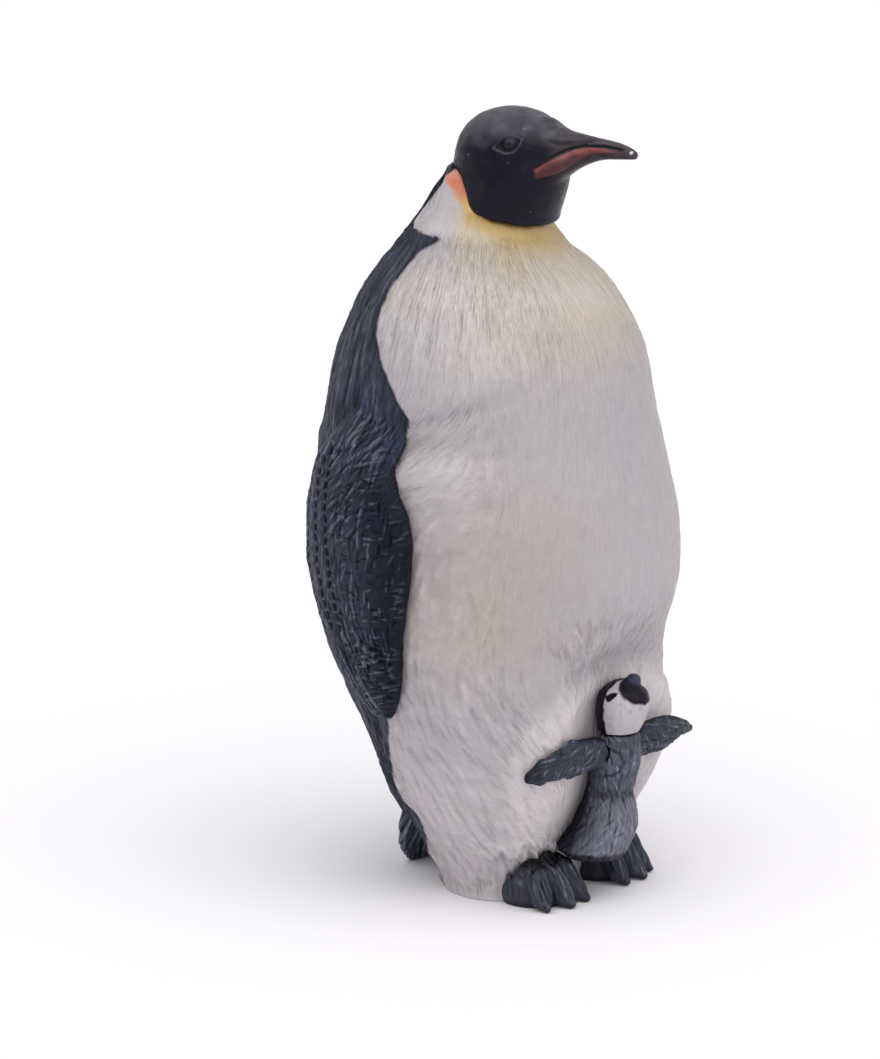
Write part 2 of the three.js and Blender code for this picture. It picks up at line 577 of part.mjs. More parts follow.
const chickY = bodyFront(CHICK_PEG.height, 0) - CHICK_STANDOFF;
const chickLine = lineThrough(stacked(CHICK_BODY), "height");
const chickHeadLine = lineThrough(stacked(CHICK_HEAD, chickLine.end + SEAM_GAP), "height");
const chickFlipperLine = lineThrough(CHICK_FLIPPER, "out");

// A place on the chick: out to its left, forward and up
function onChick(left, forward, height) {
  const turn = degToRad(CHICK_TURN);
  const x = left * Math.cos(turn) - forward * Math.sin(turn);
  const y = -left * Math.sin(turn) - forward * Math.cos(turn);
  return new THREE.Vector3(x, chickY + y, height);
}

// A level ring of the chick's body or head
function chickRing(line, height, grow) {
  const { halfWidth, halfDepth, forward, left } = line.at(height);
  return turns(SMALL_SIDES).map((angle) => {
    const out = (halfWidth + grow) * Math.cos(angle);
    return onChick(left + out, forward - (halfDepth + grow) * Math.sin(angle), height);
  });
}

function chickSkin(line, grow) {
  return skin(steps(line.start, line.end, SMALL_STEP).map((height) => chickRing(line, height, grow)));
}

function chickPeg(grow, deeper) {
  const { height, length, root, radius } = CHICK_PEG;
  const seat = bodyFront(height, 0);
  const outer = new THREE.Vector3(0, seat - root, height);
  return rod(outer, new THREE.Vector3(0, seat + length + deeper, height), radius + grow);
}

function chickNeckPeg(grow, deeper) {
  const { length, root, radius } = CHICK_NECK_PEG;
  const { forward } = chickLine.at(chickLine.end);
  const foot = onChick(0, forward, chickLine.end - length - deeper);
  return rod(foot, onChick(0, forward, chickHeadLine.start + root), radius + grow);
}

function chickBill() {
  const ends = [CHICK_BILL_ROOT, CHICK_BILL_TIP];
  const path = ends.map(({ forward, up }) => onChick(0, forward, chickHeadLine.start + up));
  return limb(path, ends.map(({ radius }) => radius), TOE_SIDES);
}

// side is 1 for the chick's left and -1 for its right
function chickFlipperRing(out, side) {
  const { height, halfWidth, halfThick, forward } = chickFlipperLine.at(out);
  const ring = turns(SMALL_SIDES).map((angle) => onChick(
    side * out,
    forward + halfThick * Math.sin(angle),
    height + halfWidth * Math.cos(angle),
  ));
  return side > 0 ? ring : ring.reverse();
}

function chickFlipperPeg(side, grow, deeper) {
  const { length, root, radius } = CHICK_FLIPPER_PEG;
  const { height, forward } = CHICK_FLIPPER_ROOT;
  const seat = chickLine.at(height).halfWidth;
  const outer = onChick(side * (seat + root), forward, height);
  return rod(outer, onChick(side * (seat - length - deeper), forward, height), radius + grow);
}

function chickFlipper(side) {
  const outs = steps(chickFlipperLine.start, chickFlipperLine.end, SMALL_STEP);
  return skin(outs.map((out) => chickFlipperRing(out, side)))
    .subtract(chickSkin(chickLine, SEAM_GAP))
    .subtract(bodyCutter)
    .add(chickFlipperPeg(side, 0, 0));
}

const chickBody = chickSkin(chickLine, 0)
  .subtract(bodyCutter)
  .subtract(bothSides(footForm(SEAM_GAP)))
  .add(chickPeg(0, 0))
  .subtract(chickNeckPeg(PEG_GAP, SOCKET_SPARE))
  .subtract(chickFlipperPeg(-1, PEG_GAP, SOCKET_SPARE))
  .subtract(chickFlipperPeg(1, PEG_GAP, SOCKET_SPARE));
const chickHead = chickSkin(chickHeadLine, 0)
  .add(chickBill())
  .subtract(bodyCutter)
  .add(chickNeckPeg(0, 0));

// Body shells

// A rod along Y inside the body, at a pin, from one y to another
const pinRod = ({ height, side }, from, to, radius) => bothSides(
  rod(new THREE.Vector3(-side, from, height), new THREE.Vector3(-side, to, height), radius),
);
const seamAt = ({ height }) => partingLine.at(height).y;
const posts = union(PINS.map((pin) => pinRod(pin, -BEYOND, BEYOND, POST_RADIUS))).intersect(bodyInside);
const pinsGrown = (grow, deeper) => union(PINS.map(
  (pin) => pinRod(pin, seamAt(pin) - PIN_LENGTH - deeper, seamAt(pin) + PIN_LENGTH, PIN_RADIUS + grow),
));

function bellyShell() {
  const sockets = union([
    neckPeg(PEG_GAP, SOCKET_SPARE),
    bothSides(footPeg(PEG_GAP, SOCKET_SPARE)),
    chickPeg(PEG_GAP, SOCKET_SPARE),
    pinsGrown(PEG_GAP, SOCKET_SPARE),
  ]);
  return bodyWall
    .add(posts)
    .intersect(seamSide(-1))
    .subtract(hoodRegion(SEAM_GAP))
    .subtract(sockets);
}

function backShell() {
  const flipperSockets = bothSides(flipperPegs(PEG_GAP, SOCKET_SPARE));
  const bosses = bothSides(flipperPegs(PEG_GAP + BOSS_WALL, SOCKET_SPARE + BOSS_WALL)).intersect(bodyInside);
  return bodyWall
    .add(posts)
    .add(bosses)
    .intersect(seamSide(1))
    .subtract(hoodRegion(SEAM_GAP))
    .subtract(flipperSockets)
    .subtract(tailPeg(PEG_GAP, SOCKET_SPARE))
    .add(pinsGrown(0, 0));
}

// Paints, all on the same satin vinyl

const paint = (color, roughness) => new THREE.MeshStandardMaterial({ color, roughness, metalness: 0 });
const whitePaint = () => paint(0xcfc8c4, 0.55);
const slatePaint = () => paint(0x474b5a, 0.5);
const hoodPaint = () => paint(0x26242c, 0.42);
const footPaint = () => paint(0x2b2c33, 0.5);
const downPaint = () => paint(0x5c6170, 0.6);

function piece(name, solid, material, mirror = false) {
  const mesh = new THREE.Mesh(geometryOf(solid), material);
  mesh.name = name;
  if (mirror) mesh.scale.x = -1;
  return mesh;
}

function group(name, ...members) {
  const made = new THREE.Group();
  made.name = name;
  return made.add(...members);
}

const adult = group(
  "adult",
  piece("belly_shell", bellyShell(), whitePaint()),
  piece("back_shell", backShell(), slatePaint()),
  piece("head", head, hoodPaint()),
  piece("flipper_right", flipper, slatePaint()),
  piece("flipper_left", flipper, slatePaint(), true),
  piece("tail", tail, footPaint()),
  piece("foot_right", foot, footPaint()),
  piece("foot_left", foot, footPaint(), true),
);
const chick = group(
  "chick",
  piece("chick_body", chickBody, downPaint()),
  piece("chick_head", chickHead, whitePaint()),
  piece("chick_flipper_right", chickFlipper(-1), downPaint()),
  piece("chick_flipper_left", chickFlipper(1), downPaint()),
);

export default group("penguin", adult, chick);
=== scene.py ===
"""A hand-painted penguin figurine with its chick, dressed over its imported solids. Lengths are millimetres."""

import itertools
import math
from functools import partial

import bpy
import numpy as np
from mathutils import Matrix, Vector
from mathutils.bvhtree import BVHTree


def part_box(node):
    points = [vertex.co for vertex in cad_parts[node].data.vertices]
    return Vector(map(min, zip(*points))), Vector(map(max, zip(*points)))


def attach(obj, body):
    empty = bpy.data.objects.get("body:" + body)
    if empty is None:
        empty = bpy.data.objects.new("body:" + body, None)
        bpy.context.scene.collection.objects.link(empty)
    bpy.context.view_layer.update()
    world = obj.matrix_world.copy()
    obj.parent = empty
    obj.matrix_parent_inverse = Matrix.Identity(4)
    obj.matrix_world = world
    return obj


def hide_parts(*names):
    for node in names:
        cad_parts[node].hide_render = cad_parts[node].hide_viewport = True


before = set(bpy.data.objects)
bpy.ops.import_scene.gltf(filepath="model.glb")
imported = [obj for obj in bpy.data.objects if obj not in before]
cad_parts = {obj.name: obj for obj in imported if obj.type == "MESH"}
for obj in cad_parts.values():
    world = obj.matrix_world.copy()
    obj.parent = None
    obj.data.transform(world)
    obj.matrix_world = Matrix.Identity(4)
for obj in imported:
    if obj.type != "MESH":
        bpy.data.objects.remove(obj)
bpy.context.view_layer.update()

MM = 0.001  # one millimetre, in metres
BODY = "root"
FAR = 80.0  # rays start this far out

# Photograph and camera
PHOTO_HEIGHT = 1059.0  # pixels
FOCAL = 4953.0  # pixels
SENSOR = 36.0  # its height, which only scales the lens
CAMERA_AZIMUTH = math.radians(-53.8)
CAMERA_ELEVATION = math.radians(12.2)
CAMERA_DISTANCE = 600.0
CAMERA_TARGET = (-5.24, 7.16, 43.45)

# Mesh and plumage of the body
TORSO_ROWS = 400
TORSO_COLUMNS = 236  # across each shell
FORM_ANGLE = math.radians(2.0)  # between rays that find the body's form
FORM_STEP = 0.4
FORM_CLOSING = (6, 5)  # rows and columns over which sockets are filled
FORM_BLUR = (3.2, 2.6)
NECK_DROP = 0.85  # the neck ends where the radius falls below this share of the one under it
PARTING_STEP = 3.0
PARTING_REACH = 1.6
TORSO_BLUR = (2.0, 2.0)
TORSO_GIRTH = 18.0  # an even radius that angles round the body are drawn with
HALF_TURN = math.pi * TORSO_GIRTH
PLUMAGE_TOP = 90.0
PLUMAGE_SPACING = (0.62, 1.35)
PLUMAGE_CELL = 0.16
STRAND_WIDTH = 0.3  # of the body's fine plumage
STRAND_LENGTH = 2.4
NECK_HIDDEN = 0.7  # the neck goes on this far inside the hood

# Side view of the adult's paint: where white turns to slate, as height and y
WHITE_EDGE = [
    (0, 6.6), (2.5, 6.4), (4.2, 5.4), (5.6, 4.4), (8.7, 3.6), (10.2, 3.8), (11.6, 5.2), (13.8, 6.4),
    (17.6, 6.1), (22.4, 4.7), (40, 4.4), (55, 2.6), (59.7, 1), (62.3, 3), (64.9, 5.2), (68.5, 7.5),
    (71.9, 8.1), (74.2, 7.9), (76.1, 7.1), (78.3, 6), (79.7, 4), (80, 4.4), (80.35, 10), (81.5, 10.7),
    (84, 9), (88, 6.9),
]
POUCH_HALF = math.radians(46)  # half of the pouch's width
POUCH_FOOT = 15.0  # its rim is an arch above this height
POUCH_RISE = 13.5
RIM_TURN = 1.15  # locks stand this far round its rim to each side, in radians

# Soft forms of the body
HOLLOW_HEIGHT = 56.3  # under the shoulder
ROLL_HEIGHT = 52.8
HOLLOW_DEPTH = 0.6
CREASE_HEIGHT = 58.8  # at its lower end, beside the flipper
CREASE_CLIMB = 6.6  # for each radian towards the front
CREASE_END = 1.3  # angle of its lower end
THROAT_HEIGHT = 77.8
THROAT_DEPTH = 0.45
RUMP_HEIGHT = 7.5
RUMP_UNDERCUT = 1.3
LIP_RISE = 0.5
LIP_GROOVE = 0.35

# Head, with y and height where lines are pairs
EYE = np.array([5.4, -2.9, 91.2])  # on the bird's left, and mirrored on its right
EYE_ALONG = np.array([-0.518, -0.806, 0.288])  # from the eye's rear corner to its front one
EYE_UP = np.array([0.156, 0.242, 0.958])
EYE_HALF = (1.73, 1.0)  # half its length and height
STRIPE_TOP = [
    (-15.3, 91.0), (-13.3, 91.2), (-11.75, 91.2), (-9.9, 90.8), (-7.8, 89.75), (-6.8, 89.2), (-5.8, 88.5),
]
STRIPE_LOW = [
    (-15.3, 90.7), (-13.7, 90.5), (-12.1, 90.3), (-9.7, 89.1), (-8.5, 88.25), (-7.3, 87.6), (-5.8, 87.1),
]
GAPE = [(-16.2, 91.0), (-13.7, 91.3), (-11.0, 91.2), (-9.2, 90.7), (-7.35, 89.7)]
BILL_GROOVE = [(-12.4, 91.85), (-9.7, 91.5), (-8.0, 91.4), (-6.7, 91.75)]
# Where a painted glint sits near the bill's tip
BILL_GLINT = (-17.1, 90.8)
BILL_SHRINK = 0.5  # what smoothing takes off the bill's tip
HOOD_EDGE = [(-14, 79.8), (-6, 80.7), (-0.6, 82.1), (1.7, 83.0), (2.6, 85.4), (5, 87.6), (14, 88.2)]

# Tail, feet and chick
TAIL_ROOT_HEIGHT = 11.0
TAIL_HALF_THICK = 1.4
TAIL_FILL = 1.3  # how far its upper part thickens towards the rump
FOOT_MIDDLE = 7.1  # from the middle of the body
ANKLE_Y = -3.2
CHICK_Y = -13.8  # line up the middle of the chick's body
CHICK_GIRTH = 3.6
CHICK_WAIST_HEIGHT = 13.2
CHICK_SHOULDER = (0.95, 17.4, 1.7)  # a round fold: the angle and height of its middle, and its radius
CHICK_HEAD_SHIFT = (-0.22, 0.2, 0)
CHICK_HEAD_MIDDLE = (-0.48, -16.6)
CHICK_LOBE = (-0.35, -18.7, 26.2)
CHICK_LOBE_RADII = (2.65, 2.3, 1.75)
CHICK_EYE_REAR = (2.77, -16.4, 25.45)  # with x from the head's middle
CHICK_EYE_FRONT = (2.63, -17.4, 26.4)
CHICK_SPOTS = [(-3.3, -18.1, 24.9), (-2.5, -19.0, 23.9), (-1.2, -19.6, 24.2)]
CHICK_KNOB = (-0.75, -18.75, 27.83)
# Share added to each one's breadth, length added to it, and share of its height that stays in place
CHICK_FLIPPERS = {"right": (0.6, 0.9, 0.25), "left": (-0.35, 0.0, 0.75)}

# Size of a voxel, of a coarser one that is smoothed first, and rounds of that smoothing
HEAD_MESH = (0.135, 0.22, 14)
TAIL_MESH = (0.1, 0.2, 8)
FLIPPER_MESH = (0.125, 0.3, 25)
FOOT_MESH = (0.085, 0.12, 3)
CHICK_BODY_MESH = (0.1, 0.18, 10)
CHICK_HEAD_MESH = (0.07, 0.15, 10)
CHICK_FLIPPER_MESH = (0.075, 0.12, 6)
FINE_ROUNDS = 5
HOLLOW_RIDGE_ROUNDS = 30  # hollows and ridges stand out against a surface smoothed this often
# How strongly hollows take painted shade and ridges take painted highlight
HOLLOW_SHADE_SHARE = 0.6
RIDGE_HIGHLIGHT_SHARE = 0.45

# Seeds of random draws
PLUMAGE_SEED = 11
HEAD_SEED = 41
FLIPPER_SEED = 50
TAIL_SEED = 61
FOOT_SEED = 70
CHICK_SEED = 81
CHICK_FLIPPER_SEED = 95

# Floor and lights, with azimuth, elevation and spread in degrees and then strength for each light
FLOOR_HALF = 3.0  # metres
FLOOR_TONE = (0.85, 0.83, 0.86, 1)
FLOOR_ROUGHNESS = 0.75
SOFTBOX = (-50, 71, 80, 1.93)
FILL = (-15, 14, 100, 0.52)
ROOM_TONE = (1, 0.99, 1, 1)
ROOM_STRENGTH = 0.63
CLIP_START = 0.01  # metres


# Small tools


def colour(red, green, blue):
    """A linear colour from a display colour of 0 to 255."""
    share = np.array([red, green, blue]) / 255
    return np.where(share <= 0.04045, share / 12.92, ((share + 0.055) / 1.055) ** 2.4)


def ramp(low, high, value):
    """0 at low, 1 at high and smooth between, where low may be the larger."""
    share = np.clip((np.asarray(value, float) - low) / (high - low), 0, 1)
    return share * share * (3 - 2 * share)


def bump(value, middle, width):
    return np.exp(-(((value - middle) / width) ** 2))


def mix(under, over, share):
    """Two colours or arrays of colours, mixed by a share for each point."""
    return under + (over - under) * np.asarray(share)[..., None]


def layered(paint, *layers):
    """Paint under further colours, each with a share for each point."""
    for tone, share in layers:
        paint = mix(paint, tone, share)
    return paint


def line_at(line, value):
    """The second number of a line of pairs, at a value of the first."""
    return np.interp(value, *zip(*line))


def grain(points, size, seed):
    """Smooth random values from -1 to 1 that change over that size."""
    table = np.random.default_rng(seed).uniform(-1, 1, 4096)
    places = np.asarray(points, float) / size
    cells = np.floor(places).astype(np.int64)
    share = places - cells
    share = share * share * (3 - 2 * share)
    keys = np.array([73856093, 19349663, 83492791])
    total = 0.0
    for corner in itertools.product((0, 1), repeat=3):
        weight = np.prod(np.where(corner, share, 1 - share), axis=-1)
        total = total + weight * table[((cells + np.array(corner)) @ keys) % len(table)]
    return total


def blurred(grid, sigma, wraps):
    """A grid smoothed along both axes. The second axis is a closed ring where wraps is true."""
    for axis, width in enumerate(sigma):
        reach = int(math.ceil(3 * width))
        weights = np.exp(-((np.arange(-reach, reach + 1) / width) ** 2) / 2)
        pad = [(reach, reach) if k == axis else (0, 0) for k in range(2)]
        if axis == 1 and wraps:
            padded = np.pad(grid, pad, mode="wrap")
        else:
            padded = np.pad(grid, pad, mode="reflect", reflect_type="odd")
        count = grid.shape[axis]
        parts = [np.take(padded, np.arange(k, k + count), axis) for k in range(2 * reach + 1)]
        grid = sum(weight * part for weight, part in zip(weights / weights.sum(), parts))
    return grid


def spread(grid, reach, pick):
    """The largest or smallest value within a reach of rows and columns. Columns are a closed ring."""
    out = grid
    for shift in range(-reach[1], reach[1] + 1):
        out = pick(out, np.roll(grid, shift, 1))
    padded = np.pad(out, ((reach[0], reach[0]), (0, 0)), mode="edge")
    return pick.reduce([padded[k:k + len(grid)] for k in range(2 * reach[0] + 1)])


def sampled(grid, rows, columns, wraps=False):
    """Values between a grid's points, at fractional rows and columns."""
    rows = np.clip(rows, 0, grid.shape[0] - 1.001)
    columns = columns % grid.shape[1] if wraps else np.clip(columns, 0, grid.shape[1] - 1.001)
    row, column = np.floor(rows).astype(int), np.floor(columns).astype(int)
    down, across = rows - row, columns - column
    beside = (column + 1) % grid.shape[1]
    upper = grid[row, column] * (1 - across) + grid[row, beside] * across
    lower = grid[row + 1, column] * (1 - across) + grid[row + 1, beside] * across
    return upper * (1 - down) + lower * down


class Relief:
    """A height map over a surface, drawn stroke by stroke: u runs across it and v up it."""

    def __init__(self, u_span, v_span, cell, wraps=False):
        self.low = np.array([u_span[0], v_span[0]], float)
        self.cell = cell
        self.wraps = wraps
        spans = np.array([u_span[1] - u_span[0], v_span[1] - v_span[0]])
        self.size = np.ceil(spans / cell).astype(int) + 1
        self.height = np.zeros(self.size)

    def stroke(self, u, v, heading, length, width, rise):
        """A pointed stroke from its root. A heading of 0 runs down, and a positive one leans to +u."""
        along = np.array([math.sin(heading), -math.cos(heading)])
        middle = np.array([u, v]) + along * length / 2
        reach = abs(along) * length / 2 + width
        first = np.floor((middle - reach - self.low) / self.cell).astype(int)
        last = np.ceil((middle + reach - self.low) / self.cell).astype(int)
        columns = np.arange(first[0], last[0] + 1)
        rows = np.arange(max(first[1], 0), min(last[1], self.size[1] - 1) + 1)
        if not self.wraps:
            columns = columns[(columns >= 0) & (columns < self.size[0])]
        if not len(rows) or not len(columns):
            return
        across = (self.low[0] + columns * self.cell - u)[:, None]
        up = (self.low[1] + rows * self.cell - v)[None, :]
        share = np.clip((across * along[0] + up * along[1]) / length, 0, 1)
        half = width / 2 * np.sin(math.pi * share ** 0.8) ** 0.7 + 1e-6
        off = (across * along[1] - up * along[0]) / half
        spot = np.ix_(columns % self.size[0], rows)
        self.height[spot] += rise * np.clip(1 - off * off, 0, None)

    def at(self, u, v):
        u, v = np.asarray(u, float), np.asarray(v, float)
        return sampled(self.height, (u - self.low[0]) / self.cell, (v - self.low[1]) / self.cell)


def scattered(rng, u_span, v_span, spacing):
    """Places on a jittered grid."""
    us = np.arange(u_span[0], u_span[1], spacing[0])
    vs = np.arange(v_span[0], v_span[1], spacing[1])
    for u, v in itertools.product(us, vs):
        yield u + rng.uniform(0, spacing[0]), v + rng.uniform(0, spacing[1])


def span(values):
    return values.min(), values.max()


# Meshes


def cad_mesh(*nodes):
    """Points and triangles of CAD nodes together."""
    points, faces = [], []
    for node in nodes:
        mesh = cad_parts[node].data
        mesh.calc_loop_triangles()
        start = len(points)
        points += [vertex.co / MM for vertex in mesh.vertices]
        faces += [[start + k for k in triangle.vertices] for triangle in mesh.loop_triangles]
    return points, faces


def cad_box(node):
    low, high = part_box(node)
    return np.array(low) / MM, np.array(high) / MM


def placed(name, data):
    """A new object in the scene."""
    thing = bpy.data.objects.new(name, data)
    bpy.context.scene.collection.objects.link(thing)
    return thing


def remeshed(points, faces, voxel):
    """An even mesh of quads over a closed one."""
    mesh = bpy.data.meshes.new("work")
    mesh.from_pydata(points, [], faces)
    work = placed("work", mesh)
    remesh = work.modifiers.new("remesh", "REMESH")
    remesh.mode = "VOXEL"
    remesh.voxel_size = voxel
    evaluated = work.evaluated_get(bpy.context.evaluated_depsgraph_get())
    result = evaluated.to_mesh()
    found = np.empty(len(result.vertices) * 3)
    result.vertices.foreach_get("co", found)
    quads = np.array([polygon.vertices[:] for polygon in result.polygons])
    evaluated.to_mesh_clear()
    bpy.data.objects.remove(work)
    bpy.data.meshes.remove(mesh)
    return found.reshape(-1, 3), quads


def smoothed(points, quads, rounds):
    """Each point moved towards the middle of its neighbours, again and again."""
    ends = np.concatenate([quads[:, [k, (k + 1) % 4]] for k in range(4)])
    links = np.bincount(ends[:, 0], minlength=len(points))[:, None]
    for _ in range(rounds):
        near = np.stack([np.bincount(ends[:, 0], points[ends[:, 1], k], len(points)) for k in range(3)], 1)
        points = (points + near / links) / 2
    return points


def fine_mesh(node, voxel, coarse, rounds):
    """A fine even mesh over a CAD solid, rounded by a coarser one first."""
    points, quads = remeshed(*cad_mesh(node), coarse)
    points, quads = remeshed(smoothed(points, quads, rounds), quads.tolist(), voxel)
    return smoothed(points, quads, FINE_ROUNDS), quads


def normals_of(points, quads):
    across = points[quads[:, 2]] - points[quads[:, 0]]
    along = points[quads[:, 3]] - points[quads[:, 1]]
    facing = np.cross(across, along)
    total = np.zeros_like(points)
    for corner, axis in itertools.product(range(4), range(3)):
        total[:, axis] += np.bincount(quads[:, corner], facing[:, axis], len(points))
    return total / np.linalg.norm(total, axis=1, keepdims=True)


def make_piece(name, points, faces, paint, lay, slot):
    """A painted piece that stands for the CAD node of its name. lay says how its fine strands run."""
    above_floor = np.maximum(points, [-np.inf, -np.inf, 0])
    mesh = bpy.data.meshes.new(name)
    mesh.from_pydata(above_floor * MM, [], faces)
    mesh.shade_smooth()
    tints = mesh.color_attributes.new("paint", "FLOAT_COLOR", "POINT")
    tints.data.foreach_set("color", np.column_stack([paint, np.ones(len(paint))]).ravel())
    strands = mesh.attributes.new("lay", "FLOAT_VECTOR", "POINT")
    strands.data.foreach_set("vector", np.ascontiguousarray(lay).ravel())
    mesh.materials.append(MATERIALS[slot])
    piece = placed("painted_" + name, mesh)
    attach(piece, BODY)
    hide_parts(name)


# Materials


NOISE_SPAN = (0.3, 0.7)  # where most values of a noise lie
CLOUD_SIZE = 1.6
TINT_SIZE = 4.5
TINT_SPAN = (0.85, 1.15)  # of saturation
POLISH_SIZE = 0.9
POLISH_SPAN = (-0.07, 0.09)  # added to the roughness
PORE_SIZE = 0.22
PORE_DEPTH = 0.012
DARK_GLOSS = 0.15
FULL_GLOSS_TONE = 0.25  # lighter paint has all of its gloss


def painted_vinyl(name, roughness, gloss, mottle, strand_tone, strand_depth):
    """Satin paint over vinyl: a piece's own colours, duller where dark, mottled, porous and finely combed.

    The attribute lay holds places across and along the strands, in their own sizes, and their strength.
    """
    material = bpy.data.materials.new(name)
    material.use_nodes = True
    nodes, links = material.node_tree.nodes, material.node_tree.links

    def wire(node, inputs):
        """Sets a node's inputs to numbers, or links them to the outputs of other nodes."""
        for socket, value in inputs.items():
            if isinstance(value, bpy.types.NodeSocket):
                links.new(value, node.inputs[socket])
            else:
                node.inputs[socket].default_value = value

    def made(kind, output, inputs):
        """An output of a new node."""
        node = nodes.new("ShaderNode" + kind)
        wire(node, inputs)
        return node.outputs[output]

    def attribute(name, output):
        value = made("Attribute", output, {})
        value.node.attribute_name = name
        return value

    def noise(place, scale, detail):
        return made("TexNoise", "Fac", {"Vector": place, "Scale": scale, "Detail": detail})

    def of_size(size, detail):
        return noise(place, 1 / (size * MM), detail)

    def spanned(value, start, end, low, high):
        ends = {"From Min": start, "From Max": end, "To Min": low, "To Max": high}
        return made("MapRange", "Result", {"Value": value, **ends})

    def product(first, second):
        value = made("Math", "Value", {0: first, 1: second})
        value.node.operation = "MULTIPLY"
        return value

    place = made("TexCoord", "Object", {})
    lay = attribute("lay", "Vector")
    paint = attribute("paint", "Color")
    comb = spanned(noise(lay, 1.0, 3), *NOISE_SPAN, -1, 1)
    strands = product(comb, made("SeparateXYZ", "Z", {"Vector": lay}))
    cloud = spanned(of_size(CLOUD_SIZE, 4), *NOISE_SPAN, 1 - mottle, 1 + mottle)
    streak = spanned(strands, -1, 1, 1 - strand_tone, 1 + strand_tone)
    tint = spanned(of_size(TINT_SIZE, 2), *NOISE_SPAN, *TINT_SPAN)
    tone = {"Color": paint, "Value": product(cloud, streak), "Saturation": tint}
    smooth, rough = roughness + POLISH_SPAN[0], roughness + POLISH_SPAN[1]
    combed = made("Bump", "Normal", {"Height": strands, "Distance": strand_depth * MM})
    pores = {"Height": of_size(PORE_SIZE, 2), "Distance": PORE_DEPTH * MM, "Normal": combed}
    wire(nodes["Principled BSDF"], {
        "Base Color": made("HueSaturation", "Color", tone),
        "Specular IOR Level": spanned(paint, 0, FULL_GLOSS_TONE, DARK_GLOSS, gloss),
        "Roughness": spanned(of_size(POLISH_SIZE, 3), *NOISE_SPAN, smooth, rough),
        "Normal": made("Bump", "Normal", pores),
    })
    return material


# Roughness, gloss, mottling, and the tone and depth of fine strands
PAINTS = {
    "white_paint": (0.42, 0.45, 0.03, 0.07, 0.14),
    "slate_paint": (0.42, 0.4, 0.1, 0.38, 0.16),
    "hood_paint": (0.36, 0.3, 0.34, 0.14, 0.04),
    "foot_paint": (0.44, 0.3, 0.12, 0.25, 0.05),
    "down_paint": (0.48, 0.25, 0.1, 0.25, 0.06),
}
MATERIALS = {name: painted_vinyl(name, *values) for name, values in PAINTS.items()}

BELLY_WHITE = colour(168, 163, 167)
BELLY_CREAM = colour(182, 171, 157)
# A lighter white: painted light on the belly, brighter ridges, and the bill's painted glint
BELLY_BRIGHT = colour(198, 192, 194)
# A grey for painted shade and cuts on the belly, and for the chick's grey marks and mottling
BELLY_GREY_AND_SHADE = colour(138, 131, 133)
CHEST_CREAM = colour(206, 194, 182)
THROAT_PALE = colour(194, 178, 156)
THROAT_YELLOW = colour(188, 162, 108)
THROAT_GOLD = colour(160, 126, 56)
EAR_ORANGE = colour(210, 134, 108)
EAR_AMBER = colour(208, 168, 106)
SLATE_TONE = colour(55, 59, 80)
FLIPPER_TONE = colour(44, 48, 67)
SLATE_DEEP = colour(21, 23, 38)
SLATE_RIDGE = colour(104, 107, 122)
SLATE_DARK = colour(11, 13, 34)
HOOD_TONE = colour(15, 14, 27)
HOOD_HIGHLIGHT_AND_BRUSHING = colour(72, 69, 78)
BLACK = colour(13, 13, 17)
BILL_DARK = colour(58, 50, 56)
STRIPE_DEEP = colour(74, 38, 42)
STRIPE_LIGHT = colour(114, 62, 62)
FOOT_TONE = colour(52, 54, 65)
FOOT_RIDGE = colour(96, 100, 112)
DOWN_TONE = colour(64, 67, 82)
DOWN_LIGHT = colour(102, 103, 119)
DOWN_RIDGE = colour(134, 137, 152)
DOWN_DEEP = colour(26, 26, 33)
CHICK_WHITE = colour(180, 174, 180)
CHICK_BLACK = colour(15, 11, 24)
CHICK_BROWN = colour(34, 27, 40)
WING_TONE = colour(53, 57, 71)


# Body


def parting_line():
    """Heights and y of the belly shell's rear edge, where the shells meet."""
    points = np.array(cad_mesh("belly_shell")[0])
    heights = np.arange(0, points[:, 2].max(), PARTING_STEP)
    edge = [points[abs(points[:, 2] - height) < PARTING_REACH, 1].max() for height in heights]
    return heights, blurred(np.array(edge)[:, None], (1.0, 0.01), False)[:, 0]


PARTING = parting_line()


def axis_at(height):
    return np.interp(height, *PARTING)


def body_form():
    """The body without sockets: its radius at each height and angle, and the height of each column."""
    shells = BVHTree.FromPolygons(*cad_mesh("belly_shell", "back_shell"))
    angles = np.arange(-math.pi, math.pi - 1e-6, FORM_ANGLE)
    heights = np.arange(FORM_STEP / 2, cad_box("back_shell")[1][2] + FORM_STEP, FORM_STEP)
    radius = np.zeros((len(heights), len(angles)))
    for row, height in enumerate(heights):
        axis = Vector((0, axis_at(height), height))
        for column, angle in enumerate(angles):
            way = Vector((-math.sin(angle), -math.cos(angle), 0))
            distance = shells.ray_cast(axis + way * FAR, -way, FAR)[3]
            radius[row, column] = 0 if distance is None else FAR - distance
    neck = int(cad_box("head")[0][2] / FORM_STEP)
    tops = np.full(len(angles), len(heights) - 1)
    for column in range(len(angles)):
        for row in range(neck, len(heights)):
            if radius[row, column] < NECK_DROP * radius[row - 1, column]:
                tops[column] = row - 1
                radius[row:, column] = radius[row - 1, column]
                break
    tops = np.maximum.reduce([np.roll(tops, shift) for shift in (-1, 0, 1)])
    radius = spread(spread(radius, FORM_CLOSING, np.maximum), FORM_CLOSING, np.minimum)
    top_heights = blurred(heights[tops][None, :], (0.01, 2.0), True)[0]
    return blurred(radius, FORM_BLUR, True), top_heights


FORM_RADIUS, FORM_TOPS = body_form()


def body_reach(angle, height):
    """How far the body's surface is from its axis."""
    return sampled(FORM_RADIUS, height / FORM_STEP - 0.5, (angle + math.pi) / FORM_ANGLE, True)


